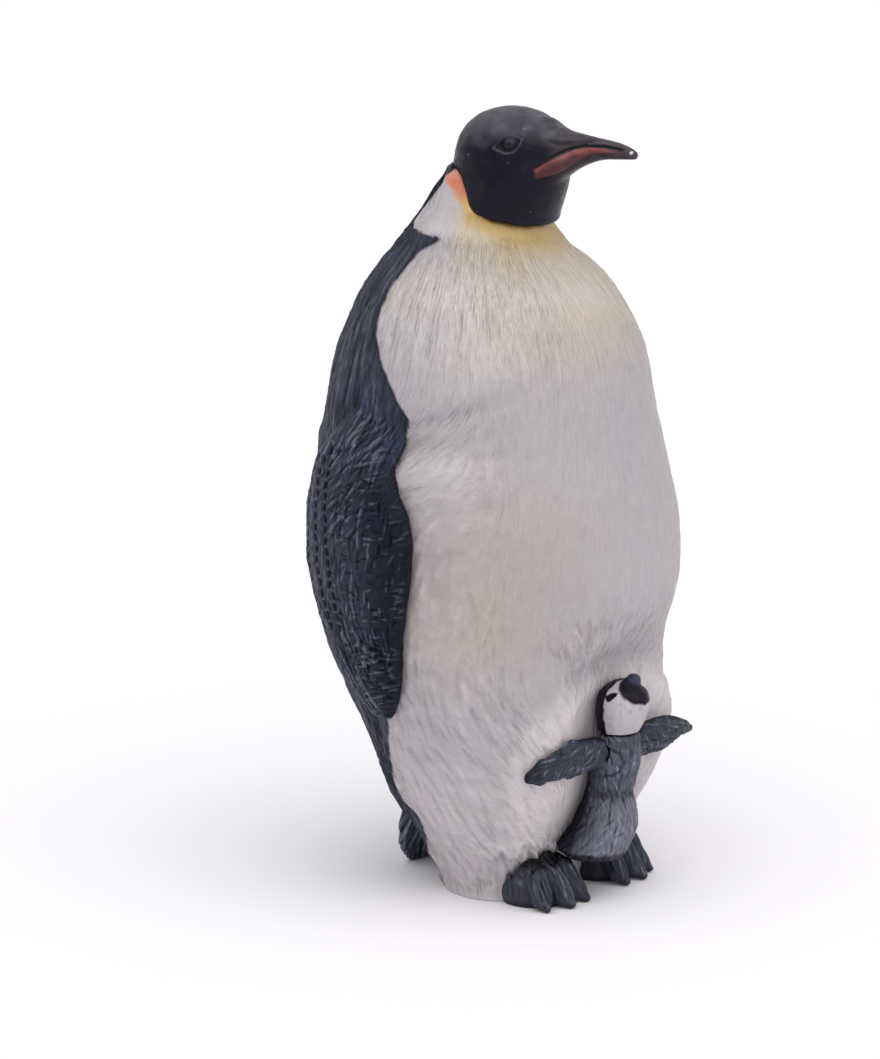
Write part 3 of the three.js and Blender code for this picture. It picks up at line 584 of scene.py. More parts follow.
def torso_grid():
    """Points, angles, heights and neck heights of the body's surface. Column 0 is the seam on the left."""
    columns = 2 * TORSO_COLUMNS
    angles = -math.pi / 2 + 2 * math.pi * np.arange(columns) / columns
    top = sampled(np.stack([FORM_TOPS, FORM_TOPS]), np.zeros(columns), (angles + math.pi) / FORM_ANGLE, True)
    heights = np.linspace(0, 1, TORSO_ROWS)[:, None] * (top + NECK_HIDDEN)[None, :]
    around = np.broadcast_to(angles, heights.shape)
    reach = blurred(body_reach(around, heights), TORSO_BLUR, True)
    tuck = 0.5 + 0.4 * ramp(1.7, 2.2, abs(turned(around)))
    under_hood = 1.3 * np.clip(heights - top, 0, None) + tuck * ramp(-3, 0, heights - top)
    reach = reach + soft_forms(turned(around), heights) - under_hood
    points = np.stack([
        -reach * np.sin(around),
        axis_at(heights) - reach * np.cos(around),
        heights,
    ], -1)
    return points, around, heights, np.broadcast_to(top, heights.shape)


def turned(angle):
    """The same angle, from half a turn to the left to half a turn to the right."""
    return (angle + math.pi) % (2 * math.pi) - math.pi


def pouch_reach(angle, height):
    """How far out from the pouch's middle a place is: 1 along its rim."""
    up = np.clip((height - POUCH_FOOT) / POUCH_RISE, 0, None)
    return np.hypot(angle / POUCH_HALF, up)


def soft_forms(angle, height):
    """Shallow folds under the shoulders, the throat's line, the undercut of the rump and the pouch's lip."""
    side = abs(angle)
    by_flipper = ramp(0.7, 1.05, side) * ramp(1.75, 1.5, side)
    hollow = -HOLLOW_DEPTH * bump(height, HOLLOW_HEIGHT, 1.7) + HOLLOW_DEPTH * bump(height, ROLL_HEIGHT, 2.0)
    crease_height = CREASE_HEIGHT + CREASE_CLIMB * np.clip(CREASE_END - side, 0, None)
    crease = 0.4 * bump(height, crease_height + 2.2, 1.5) - 0.5 * bump(height, crease_height, 0.8)
    folds = by_flipper * hollow + bump(side, 1.07, 0.28) * crease
    throat = -THROAT_DEPTH * bump(height, THROAT_HEIGHT, 1.7) * ramp(1.3, 0.8, side)
    under_rump = -RUMP_UNDERCUT * bump(height, RUMP_HEIGHT, 3.2) * ramp(1.2, 1.5, side)
    reach = pouch_reach(angle, height)
    lip = LIP_RISE * bump(reach, 0.87, 0.13) - LIP_GROOVE * bump(reach, 1.08, 0.1)
    return folds + throat + under_rump + lip * ramp(14, 19, height)


def grid_normals(points):
    across = np.roll(points, -1, 1) - np.roll(points, 1, 1)
    up = np.gradient(points, axis=0)
    facing = np.cross(up, across)
    return facing / np.linalg.norm(facing, axis=-1, keepdims=True)


def belly_heading(angle, height):
    """Which way the belly's plumage lies: down, and outwards where positive."""
    side = abs(angle)
    beside_flipper = ramp(0.75, 1.15, side) * ramp(44, 52, height) * ramp(66, 57, height)
    low = ramp(0.2, 0.6, side) * ramp(2.0, 1.2, side) * ramp(34, 24, height) * ramp(4, 9, height)
    over_pouch = ramp(0.7, 0.3, side) * ramp(24, 29, height) * ramp(42, 34, height)
    lean = 0.12 * side + 0.65 * beside_flipper - 0.5 * low - 0.9 * over_pouch * side
    return lean * np.sign(angle)


def back_heading(angle):
    return 0.12 * np.sin(angle)


def belly_combing(angle, height):
    """How strongly the belly is cut: most on the chest, by the flippers, low down and over the pouch."""
    side = abs(angle)
    chest = ramp(58, 76, height) * ramp(-0.2, 0.7, side)
    beside_flipper = ramp(0.6, 1.0, side) * ramp(66, 58, height)
    low = ramp(32, 24, height) * ramp(0.25, 0.6, side)
    over_pouch = ramp(0.75, 0.4, side) * bump(height, 32, 5)
    combed = 0.4 + 0.6 * np.maximum.reduce([chest, beside_flipper, low, over_pouch])
    return combed * (1 - 0.7 * ramp(79, 81, height))


def is_slate(height, y):
    return y > line_at(WHITE_EDGE, height)


def draw_plumage(relief, rng, form):
    """Incised and raised strokes all over the body, longer and deeper on the back."""
    for u, v in scattered(rng, (-HALF_TURN, HALF_TURN), (0, PLUMAGE_TOP), PLUMAGE_SPACING):
        angle = u / TORSO_GIRTH
        row = min(int(v / PLUMAGE_TOP * TORSO_ROWS), TORSO_ROWS - 1)
        column = int((angle + math.pi / 2) / math.pi * TORSO_COLUMNS) % (2 * TORSO_COLUMNS)
        if is_slate(v, form[row, column, 1]):
            heading = back_heading(angle) + rng.normal(0, 0.1)
            length, width = rng.uniform(3, 6.5), rng.uniform(0.45, 0.7)
            rise = rng.choice([-0.09, 0.08]) * rng.uniform(0.4, 1.2)
        else:
            heading = belly_heading(angle, v) + rng.normal(0, 0.14)
            length, width = rng.uniform(2, 4.5), rng.uniform(0.45, 0.65)
            rise = rng.choice([-0.09, 0.07]) * rng.uniform(0.3, 1.2) * belly_combing(angle, v)
        relief.stroke(u, v, heading, length, width, rise)


def draw_pouch_rim(relief, rng):
    """Short locks along the rim of the pouch."""
    for turn in np.arange(-RIM_TURN, RIM_TURN, 0.018):
        angle = POUCH_HALF * math.sin(turn)
        start = POUCH_FOOT + POUCH_RISE * math.cos(turn) + rng.uniform(-0.4, 1.2)
        lean = 0.5 * math.sin(turn) + rng.normal(0, 0.25)
        length, width = rng.uniform(1.4, 2.6), rng.uniform(0.45, 0.65)
        relief.stroke(angle * TORSO_GIRTH, start, lean, length, width, rng.choice([0.1, -0.07]))


def draw_over_pouch(relief, rng):
    """Deep cuts and locks above the pouch, which run towards its middle."""
    for angle in np.arange(-0.3, 0.55, 0.018):
        lean = -0.9 * angle + rng.normal(0, 0.14)
        start = rng.uniform(32.5, 36.5)
        relief.stroke(angle * TORSO_GIRTH, start, lean, rng.uniform(2, 3.6), 0.5, rng.choice([-0.16, 0.1]))


def draw_over_feet(relief, rng):
    """Thick locks that hang over the feet."""
    for angle in np.arange(-1.1, 1.1, 0.016):
        start = rng.uniform(6.8, 9)
        lean = -0.5 * angle + rng.normal(0, 0.3)
        relief.stroke(angle * TORSO_GIRTH, start, lean, rng.uniform(1.4, 3), 0.55, rng.uniform(0.1, 0.4))


def draw_flanks(relief, rng):
    """Deep cuts low on the flanks."""
    for angle, start in scattered(rng, (-1.95, 1.95), (10, 32), (0.085, 2.0)):
        if abs(angle) > 0.65:
            lean = belly_heading(angle, start) + rng.normal(0, 0.07)
            length, width = rng.uniform(2.2, 4.4), rng.uniform(0.45, 0.6)
            relief.stroke(angle * TORSO_GIRTH, start, lean, length, width, rng.choice([-0.2, -0.14, 0.1]))


def draw_hem(relief, rng):
    """Short cuts and locks round the lower end of the body."""
    for angle in np.arange(-1.9, 1.9, 0.012):
        lean = rng.normal(0, 0.25)
        length, width = rng.uniform(1.4, 2.8), rng.uniform(0.45, 0.6)
        rise = rng.choice([0.2, -0.2])
        relief.stroke(angle * TORSO_GIRTH, rng.uniform(1.6, 8.5), lean, length, width, rise)


def draw_chest(relief, rng):
    """Long strokes down both sides of the upper chest."""
    for angle, start in scattered(rng, (-1.5, 1.5), (66, 79), (0.06, 2.6)):
        if abs(angle) > 0.35:
            lean = 0.1 * angle + rng.normal(0, 0.07)
            length, width = rng.uniform(3.5, 7), rng.uniform(0.45, 0.6)
            rise = rng.choice([-0.13, 0.1]) * ramp(62, 74, start)
            relief.stroke(angle * TORSO_GIRTH, start, lean, length, width, rise)


def plumage(form):
    """The relief of the whole body."""
    rng = np.random.default_rng(PLUMAGE_SEED)
    relief = Relief((-HALF_TURN, HALF_TURN - PLUMAGE_CELL), (0, PLUMAGE_TOP), PLUMAGE_CELL, wraps=True)
    draw_plumage(relief, rng, form)
    for draw in (draw_pouch_rim, draw_over_pouch, draw_over_feet, draw_flanks, draw_hem, draw_chest):
        draw(relief, rng)
    return relief


def plumage_lay(angle, height, slate):
    """Places across and along the body's fine strands, which run with the strokes, and their strength."""
    bent = turned(angle)
    heading = np.where(slate, back_heading(bent), np.clip(belly_heading(bent, height), -1, 1))
    ring = angle[0] * TORSO_GIRTH
    shift = np.zeros(len(ring))
    across = np.empty_like(height)
    across[-1] = ring
    for row in range(len(height) - 2, -1, -1):
        source = ring - np.tan(heading[row]) * (height[row + 1] - height[row])
        shift = np.interp(source, ring, shift, period=2 * HALF_TURN) + source - ring
        across[row] = ring + shift
    strength = np.where(slate, 1.4, belly_combing(bent, height))
    return np.stack([across / STRAND_WIDTH, height / STRAND_LENGTH, strength], -1)


def throat_paint(paint, points, jag):
    """Yellow below the hood's edge, with a gold line at it, and orange patches behind its rear edge."""
    y, z = points[..., 1], points[..., 2]
    below = line_at(HOOD_EDGE, y) - z + 0.25 * jag
    in_front = ramp(4.2, 2.6, y + 0.2 * jag)
    depth = 2.2 + 1.6 * ramp(1.0, -4.0, y)
    behind = y - np.interp(z, [height for _, height in HOOD_EDGE], [place for place, _ in HOOD_EDGE])
    reach = behind + 0.2 * jag + 1.1 * ramp(84.6, 83.4, z)
    patch = ramp(2.1, 1.1, reach) * ramp(81.8, 83, z) * ramp(87.9, 87.2, z)
    top = 87.7 - 1.0 * np.clip(y - 4.6, 0, None)
    return layered(
        paint,
        (THROAT_PALE, 0.9 * ramp(7.5, 2.5, below) * in_front),
        (THROAT_YELLOW, 0.95 * ramp(1, 0.3, below / depth) * in_front),
        (THROAT_GOLD, 0.7 * ramp(0.45, 0.15, below) * in_front),
        (mix(EAR_AMBER, EAR_ORANGE, ramp(83.6, 85.4, z)), patch),
        (HOOD_TONE, ramp(-0.2, 0.2, z - top + 0.15 * jag) * ramp(2.5, 3.5, y)),
    )


def belly_paint(points, angle, relief):
    """White that is creamy in places, with painted light and painted shade in others, dull in cuts and bright
    on ridges.
    """
    y, z = points[..., 1], points[..., 2]
    side = abs(angle)
    cloud = grain(points, 9.0, 23) + 0.5 * grain(points, 4.0, 24)
    cream = np.clip(
        bump(z, 71, 6.0) * ramp(0.4, -6, y)
        + 0.6 * bump(z, 46, 8.0) * bump(side, 0.8, 0.4)
        + bump(z, 35, 5.5) * bump(side, 0.95, 0.35),
        0, 1,
    )
    in_pouch = ramp(1.1, 0.85, pouch_reach(angle, z)) * ramp(6, 9, z)
    by_flipper = bump(z, 53, 6) * ramp(0.8, 1.1, side)
    above_pouch = bump(z, 33, 8) * ramp(0.6, 0.2, side)
    # Painted light: lighter in the pouch round the chick, above the pouch, low down, on the upper chest's sides
    # and by the flippers
    painted_light = np.maximum.reduce([
        0.95 * in_pouch,
        0.2 * above_pouch,
        0.4 * ramp(24, 12, z),
        0.5 * ramp(62, 72, z) * ramp(0.45, 1.0, side),
        0.4 * by_flipper,
    ])
    return layered(
        BELLY_WHITE,
        (BELLY_CREAM, np.clip(cream * (0.8 + 0.5 * cloud), 0, 1)),
        (BELLY_BRIGHT, painted_light),
        (CHEST_CREAM, 0.45 * bump(z, 74.0, 3.0)),
        # Painted shade beside the flippers and over the middle of the belly's sides, then darker in cuts
        (BELLY_GREY_AND_SHADE, 0.35 * bump(z, 43, 6) * ramp(0.9, 1.15, side)),
        (BELLY_GREY_AND_SHADE, 0.3 * bump(z, 43, 13) * bump(side, 0.75, 0.4)),
        (BELLY_GREY_AND_SHADE, 0.25 * ramp(-0.02, -0.16, relief)),
        (BELLY_BRIGHT, 0.35 * ramp(0.03, 0.14, relief)),
    )


def torso_paint(points, angle, relief):
    """The belly's and the throat's paint, and slate behind a ragged line, darkest along it."""
    y, z = points[..., 1], points[..., 2]
    jag = grain(points, 0.9, 21) + 0.6 * grain(points, 0.4, 22)
    paint = throat_paint(belly_paint(points, turned(angle), relief), points, jag)
    behind = y - line_at(WHITE_EDGE, z) + 0.16 * jag
    slate = layered(
        SLATE_TONE,
        (SLATE_DEEP, 0.7 * ramp(0.0, -0.14, relief)),
        (SLATE_RIDGE, 0.5 * ramp(0.02, 0.14, relief + 0.03 * jag)),
        (SLATE_DEEP, 0.6 * bump(behind, 0.35, 0.4)),
    )
    return mix(paint, slate, ramp(-0.15, 0.15, behind))


def half_shell(name, points, paint, lay, first, slot):
    """One shell of the body from seam to seam, closed by a wall along the parting."""
    rows, count = TORSO_ROWS, TORSO_COLUMNS + 1
    columns = (first + np.arange(count)) % (2 * TORSO_COLUMNS)
    surface, tints, strands = (values[:, columns].reshape(-1, 3) for values in (points, paint, lay))
    index = np.arange(rows * count).reshape(rows, count)
    sheet = np.stack([index[:-1, :-1], index[1:, :-1], index[1:, 1:], index[:-1, 1:]], -1).reshape(-1, 4)
    wall = np.stack([index[:-1, -1], index[1:, -1], index[1:, 0], index[:-1, 0]], -1)
    ends = [index[0].tolist(), index[-1, ::-1].tolist()]
    make_piece(name, surface, sheet.tolist() + wall.tolist() + ends, tints, strands, slot)


def make_torso():
    form, angle, height, top = torso_grid()
    drawn = plumage(form).at(turned(angle) * TORSO_GIRTH, height)
    fade = ramp(0, 0.8, height) * ramp(0.2, -0.6, height - top)
    lumps = 0.16 * grain(form, 5.0, 31) + 0.05 * grain(form, 1.8, 32)
    points = form + grid_normals(form) * ((drawn + lumps) * fade)[..., None]
    paint = torso_paint(points, angle, drawn)
    lay = plumage_lay(angle, height, is_slate(height, form[..., 1]))
    half_shell("belly_shell", points, paint, lay, 0, "white_paint")
    half_shell("back_shell", points, paint, lay, TORSO_COLUMNS, "slate_paint")


# Pieces dressed over their solids


def shaded_hollows_lit_ridges(points, quads, paint):
    """Paint, darker in hollows and lighter on ridges: painted shade and painted highlight, which also stand for
    a wash and a dry brush.
    """
    height = ((points - smoothed(points, quads, HOLLOW_RIDGE_ROUNDS)) * normals_of(points, quads)).sum(1)
    paint = paint * (1 - HOLLOW_SHADE_SHARE * ramp(-0.005, -0.07, height))[:, None]
    return paint * (1 + RIDGE_HIGHLIGHT_SHARE * ramp(0.01, 0.07, height))[:, None]


def unchanged(points):
    return points


def dress(node, fineness, look, slot, reshape=unchanged):
    """A fine mesh over a CAD solid, with the relief, colours and lay that its look finds for the points."""
    points, quads = fine_mesh(node, *fineness)
    points = reshape(points)
    normals = normals_of(points, quads)
    rise, paint, lay = look(points, normals)
    points = points + normals * rise[:, None]
    make_piece(node, points, quads, shaded_hollows_lit_ridges(points, quads, paint), lay, slot)


def strands_along(across, along, width, length, strength):
    """The lay of fine strands of a width and a length."""
    return np.stack([across / width, along / length, np.broadcast_to(strength, across.shape)], -1)


def flecks(points, rng, count, size):
    """Share of paint at small round spots spread at random over a surface."""
    share = np.zeros(len(points))
    for middle in points[rng.integers(0, len(points), count)]:
        away = np.linalg.norm(points - middle, axis=1)
        share = np.maximum(share, ramp(1.2, 0.7, away / (size * rng.uniform(0.5, 1.0))))
    return share


# Head


def eye_relief(points):
    """Raised lids round a domed eye, under a soft brow, and the eye's own share, alike on both sides."""
    mirrored = np.column_stack([abs(points[:, 0]), points[:, 1:]])
    along = (mirrored - EYE) @ EYE_ALONG
    up = (mirrored - EYE) @ EYE_UP
    near = ramp(3.2, 2.4, np.hypot(along, up))
    lid = EYE_HALF[1] * np.clip(1 - (along / EYE_HALF[0]) ** 2, 0, None)
    in_reach = ramp(EYE_HALF[0] + 0.35, EYE_HALF[0] - 0.1, abs(along))
    lids = 0.3 * bump(up, -lid, 0.2) + 0.2 * bump(up, 0.85 * lid, 0.18)
    ball = np.hypot(along - 0.15, 1.25 * up)
    dome = 0.22 * ramp(0.95, 0.3, ball) - 0.14 * bump(ball, 1.05, 0.16)
    brow = 0.14 * bump(up, 1.9, 0.7) * bump(along, 0.2, 2.2)
    return near * (lids * in_reach + dome) + brow, near * ramp(0.5, 0.2, ball)


def stripe_share(y, z):
    """Share of the coloured plate along the lower half of the bill."""
    inside = ramp(0, 0.22, z - line_at(STRIPE_LOW, y)) * ramp(0, 0.22, line_at(STRIPE_TOP, y) - z)
    return inside * ramp(-5.45, -5.8, y) * ramp(-15.6, -14.6, y)


def bill_kept_long(points):
    """The bill's tip, moved back out to where it was before smoothing."""
    forward = BILL_SHRINK * ramp(-13.5, -17, points[:, 1])
    return points - np.outer(forward, [0, 1, 0.1])


def head_look(points, normals):
    x, y, z = points.T
    rng = np.random.default_rng(HEAD_SEED)
    eye, pupil = eye_relief(points)
    stripe = stripe_share(y, z)
    on_bill = ramp(-6.4, -8.4, y)
    gape = bump(z, line_at(GAPE, y) + 0.1, 0.17) * on_bill * ramp(-16.6, -15.6, y)
    groove = bump(z, line_at(BILL_GROOVE, y), 0.3) * ramp(-6.2, -7.2, y) * ramp(-12.8, -11.2, y)
    above = z - line_at(HOOD_EDGE, y)
    cloud = grain(points, 2.6, 42) + 0.5 * grain(points, 1.1, 43)
    rise = eye + 0.14 * stripe - 0.2 * gape - 0.14 * groove + 0.12 * bump(above, 0.5, 0.45)
    rise = rise + 0.05 * cloud * (1 - 0.7 * on_bill) * (1 - pupil)
    # Lighter towards the top: a painted highlight on the crown, together with a dry-brushed brownish tone
    crown_highlight = np.clip(ramp(90.5, 94.5, z + 0.8 * cloud) + 0.15 * ramp(0.3, 1.0, cloud), 0, 1)
    red = mix(STRIPE_DEEP, STRIPE_LIGHT, ramp(-1.0, 0.1, z - line_at(STRIPE_TOP, y) + 0.3 * cloud))
    # A painted glint near the bill's tip, on the bird's right side
    bill_glint = 0.8 * ramp(0.24, 0.12, np.hypot(y - BILL_GLINT[0], z - BILL_GLINT[1])) * (x < 0)
    paint = layered(
        HOOD_TONE,
        (HOOD_HIGHLIGHT_AND_BRUSHING, crown_highlight),
        (BILL_DARK, 0.8 * on_bill),
        (BLACK, np.clip(0.9 * gape + 0.5 * ramp(0, -0.1, rise), 0, 1)),
        # Painted highlight on the eyelids
        (HOOD_HIGHLIGHT_AND_BRUSHING, 0.6 * ramp(0.13, 0.28, eye)),
        (BLACK, pupil),
        (red, 0.95 * stripe),
        (SLATE_RIDGE, 0.45 * flecks(points, rng, 45, 0.15)),
        (BELLY_BRIGHT, bill_glint),
    )
    return rise, paint, strands_along(z - 0.3 * y, y + x, 0.5, 1.4, 0.3)


# Flippers


def flipper_edges(points):
    """Heights along a flipper, with the y of its front and rear edges."""
    heights = np.arange(points[:, 2].min() + 0.4, points[:, 2].max() - 0.2, 0.5)
    rows = [points[abs(points[:, 2] - height) < 0.4, 1] for height in heights]
    return heights, np.array([row.min() for row in rows]), np.array([row.max() for row in rows])


def draw_flipper(relief, rng, spot):
    """The flipper's feathers. A spot is at a share of the way from the front edge to the rear one."""
    def strokes(count, shares, heights, heading, lengths, width, rises):
        for share, height in zip(rng.uniform(*shares, count), rng.uniform(*heights, count)):
            lean = rng.normal(*heading)
            relief.stroke(spot(share, height), height, lean, rng.uniform(*lengths), width, rng.choice(rises))

    for share, height in itertools.product((0.62, 0.74, 0.87), np.arange(35, 57, 1.3)):
        place = spot(share - 0.003 * (48 - height), height)
        relief.stroke(place, height, 0.2 * rng.normal(), 1.1, 0.8, -0.26)
        relief.stroke(place + 0.8, height + 0.4, 0.2 * rng.normal(), 1.8, 0.5, 0.1)
        relief.stroke(place - 0.4, height + 0.2, 1.5 + 0.2 * rng.normal(), 1.0, 0.4, 0.1)
    strokes(26, (0.02, 0.2), (50, 58), (1.3, 0.2), (1.2, 3.4), 0.36, [0.1, 0.1, -0.1])
    strokes(150, (0.22, 0.62), (47, 62), (0.75, 0.15), (1.4, 3.0), 0.36, [0.1, -0.1])
    strokes(110, (0.05, 0.56), (30, 51), (0.05, 0.15), (1.2, 2.8), 0.36, [0.12, -0.12])
    strokes(110, (0.05, 0.56), (30, 51), (1.45, 0.2), (0.7, 1.7), 0.36, [0.12, -0.12])
    strokes(110, (0.45, 0.98), (26, 38), (-0.38, 0.06), (3, 5.5), 0.42, [0.13, -0.12])
    strokes(60, (0.04, 0.45), (24, 33), (1.4, 0.25), (0.8, 2), 0.4, [0.12, -0.12])
    strokes(110, (0.05, 0.9), (55, 63), (0.25, 0.25), (2, 4), 0.45, [0.09, -0.09])
    strokes(34, (0.0, 0.03), (25, 50), (1.2, 0.4), (0.5, 1.5), 0.45, [0.13, 0.13, -0.1])


def into_shoulder(points):
    """A flipper's top, pulled in so that it runs smoothly under the body's surface."""
    out = np.column_stack([points[:, 0], points[:, 1] - axis_at(points[:, 2])])
    reach = np.linalg.norm(out, axis=1)
    wanted = body_reach(np.arctan2(-out[:, 0], -out[:, 1]), points[:, 2]) - 0.4
    pull = np.clip(wanted - reach, None, 0) * ramp(53.5, 61.5, points[:, 2])
    moved = points.copy()
    moved[:, :2] += out * (pull / reach)[:, None]
    return moved


def flipper_look(side, seed, points, normals):
    """Look of the flipper on the side of that sign of x."""
    y, z = points[:, 1], points[:, 2]
    heights, front, rear = flipper_edges(points)

    def spot(share, height):
        return np.interp(height, heights, front + share * (rear - front))

    rng = np.random.default_rng(seed)
    relief = Relief(span(y), span(z), 0.13)
    draw_flipper(relief, rng, spot)
    outer = ramp(-0.1, 0.35, normals[:, 0] * side)
    drawn = relief.at(y, z)
    lumps = 0.12 * grain(points, 3.0, seed + 1) + 0.04 * grain(points, 0.9, seed + 2)
    share = (y - np.interp(z, heights, front)) / np.interp(z, heights, rear - front)
    jag = grain(points, 0.5, seed + 3)
    # Lighter on raised strokes, less so near the front edge
    lighter_ridges = 0.4 * ramp(0.03, 0.15, drawn + 0.04 * jag) * (0.4 + 0.6 * ramp(0.05, 0.3, share))
    paint = layered(
        FLIPPER_TONE,
        (SLATE_DEEP, 0.8 * ramp(0.0, -0.16, drawn)),
        (SLATE_DARK, 0.9 * ramp(0.4, 0.14, share + 0.05 * jag) * ramp(56, 51, z)),
        (SLATE_RIDGE, lighter_ridges),
        (BLACK, 0.9 * ramp(0.04, 0.0, share)),
    )
    lay = strands_along(y + 0.3 * z, z, STRAND_WIDTH, STRAND_LENGTH, 0.8)
    return (drawn + lumps) * outer, paint, lay


# Tail and feet


def tail_filled(points):
    """A tail that thickens into the rump above it."""
    y, z = points[:, 1], points[:, 2]
    steps = np.linspace(z.min(), z.max(), 12)
    middles = [y[abs(z - step) < 0.8].max() - TAIL_HALF_THICK for step in steps]
    inner = ramp(0.4, -0.8, y - np.interp(z, steps, middles))
    return points - np.outer(TAIL_FILL * inner * bump(z, 6.3, 2.6), [0, 1, 0])


def tail_look(points, normals):
    """Stiff quills that spread from the tail's root."""
    x, y, z = points.T
    below = TAIL_ROOT_HEIGHT + 3 - z
    round_edge = 0.9 * np.tanh(x / 2) * (y - y.mean())
    across, up = TAIL_ROOT_HEIGHT * np.arctan2(x, below) + round_edge, -np.hypot(x, below)
    rng = np.random.default_rng(TAIL_SEED)
    relief = Relief((-9, 9), (-16, 0), 0.1)
    for u, v in scattered(rng, (-9, 9), (-16, 0), (0.4, 1.5)):
        rise = rng.choice([-0.11, 0.1]) * rng.uniform(0.4, 1.2)
        relief.stroke(u, v, rng.normal(0, 0.06), rng.uniform(2, 5.5), rng.uniform(0.35, 0.55), rise)
    drawn = relief.at(across, up)
    paint = layered(
        DOWN_TONE,
        (BLACK, 0.5 * ramp(0.02, -0.16, drawn)),
        (DOWN_RIDGE, 0.7 * ramp(0.03, 0.16, drawn + 0.04 * grain(points, 0.5, 63))),
    )
    return drawn, paint, strands_along(across, up, 0.3, 2.5, 1.0)


def foot_look(side, seed, points, normals):
    """Wrinkled toes of the foot on the side of that sign of x."""
    x, y, z = points.T
    rng = np.random.default_rng(seed)
    relief = Relief(span(x), span(y), 0.1)
    middle = side * FOOT_MIDDLE
    for u, v in scattered(rng, span(x), span(y), (0.55, 1.0)):
        heading = math.atan2(u - middle, ANKLE_Y + 4 - v) + rng.normal(0, 0.2)
        rise = rng.choice([0.07, -0.08])
        relief.stroke(u, v, heading, rng.uniform(0.8, 2.0), rng.uniform(0.3, 0.5), rise)
    for u in np.arange(*span(x), 0.4):
        relief.stroke(u, rng.uniform(-11, -7), rng.normal(1.4, 0.3), rng.uniform(0.8, 1.6), 0.4, -0.14)
    drawn = relief.at(x, y) * ramp(-0.2, 0.3, normals[:, 2])
    jag = grain(points, 0.6, seed + 1)
    shade = np.maximum(ramp(4.4, 5.4, z + 0.6 * jag), ramp(-6.4, -4.8, y + 0.7 * jag))
    paint = layered(
        FOOT_TONE,
        (BLACK, 0.8 * ramp(0, -0.12, drawn)),
        (FOOT_RIDGE, 0.7 * ramp(0.02, 0.13, drawn + 0.04 * jag) * ramp(0.5, 1.6, z)),
        (FOOT_RIDGE, 0.45 * ramp(0.3, 1.0, jag) * ramp(0.5, 1.6, z)),
        (BLACK, np.maximum(shade, 0.7 * ramp(0.9, 0.2, z))),
    )
    lay = strands_along(x - middle, y, 0.3, 1.4, 0.8)
    return drawn + 0.06 * grain(points, 1.4, seed + 2), paint, lay


# Chick


def chick_body_look(points, normals):
    x, y, z = points.T
    rng = np.random.default_rng(CHICK_SEED)
    turn = np.arctan2(-x, CHICK_Y - y)
    side = abs(turn)
    around = (-math.pi * CHICK_GIRTH, math.pi * CHICK_GIRTH)
    relief = Relief(around, span(z), 0.1)
    for u, v in scattered(rng, around, (z.min(), z.max() + 1), (0.55, 1.0)):
        lean = 0.5 * math.sin(u / CHICK_GIRTH) * (1 if v < CHICK_WAIST_HEIGHT else -0.8)
        rise = rng.choice([0.06, -0.07]) * rng.uniform(0.4, 1.2)
        relief.stroke(u, v, lean + rng.normal(0, 0.3), rng.uniform(0.9, 2.3), rng.uniform(0.3, 0.42), rise)
    drawn = relief.at(turn * CHICK_GIRTH, z)
    jag = grain(points, 0.6, 82)
    front = ramp(1.9, 0.7, side)
    furrow = bump(z + 0.3 * jag, CHICK_WAIST_HEIGHT, 0.7)
    from_shoulder = np.hypot(CHICK_GIRTH * (side - CHICK_SHOULDER[0]), z - CHICK_SHOULDER[1])
    fold = bump(from_shoulder + 0.1 * jag, CHICK_SHOULDER[2], 0.22) * ramp(1.3, 1.0, side)
    # Painted shade under the head
    under_head_shade = ramp(18.9, 19.5, z + 0.3 * jag) * ramp(0.8, 0.5, side)
    # Painted shade on its back and round its bottom, between the feet
    edge = np.maximum(ramp(1.5, 1.9, side + 0.2 * jag), ramp(6.6, 5.6, z + 0.5 * jag))
    # Lighter at the front and low down, darker in cuts, and painted shade in the waist's furrow and the
    # shoulder's fold
    paint = layered(
        DOWN_TONE,
        (DOWN_LIGHT, front * (0.35 + 0.65 * ramp(14, 11, z))),
        (DOWN_DEEP, np.clip(0.5 * ramp(0, -0.09, drawn) + 0.45 * furrow + 0.45 * fold, 0, 1)),
        (DOWN_DEEP, 0.35 * under_head_shade),
        (DOWN_RIDGE, 0.5 * ramp(0.02, 0.1, drawn + 0.02 * jag)),
        (CHICK_BLACK, 0.85 * edge),
    )
    lay = strands_along(turn * CHICK_GIRTH, z, 0.3, 1.2, 1.0)
    rise = drawn * (1 - 0.7 * under_head_shade) - 0.25 * furrow * front - 0.15 * fold + 0.06 * grain(points, 1.5, 83)
    return rise, paint, lay


def ellipsoid_share(points, middle, radii, soft):
    """1 inside an ellipsoid and 0 outside, with a soft edge."""
    away = np.linalg.norm((points - np.array(middle)) / np.array(radii), axis=1)
    return ramp(1 + soft, 1 - soft, away)


def chick_head_place(points):
    return points + np.array(CHICK_HEAD_SHIFT)


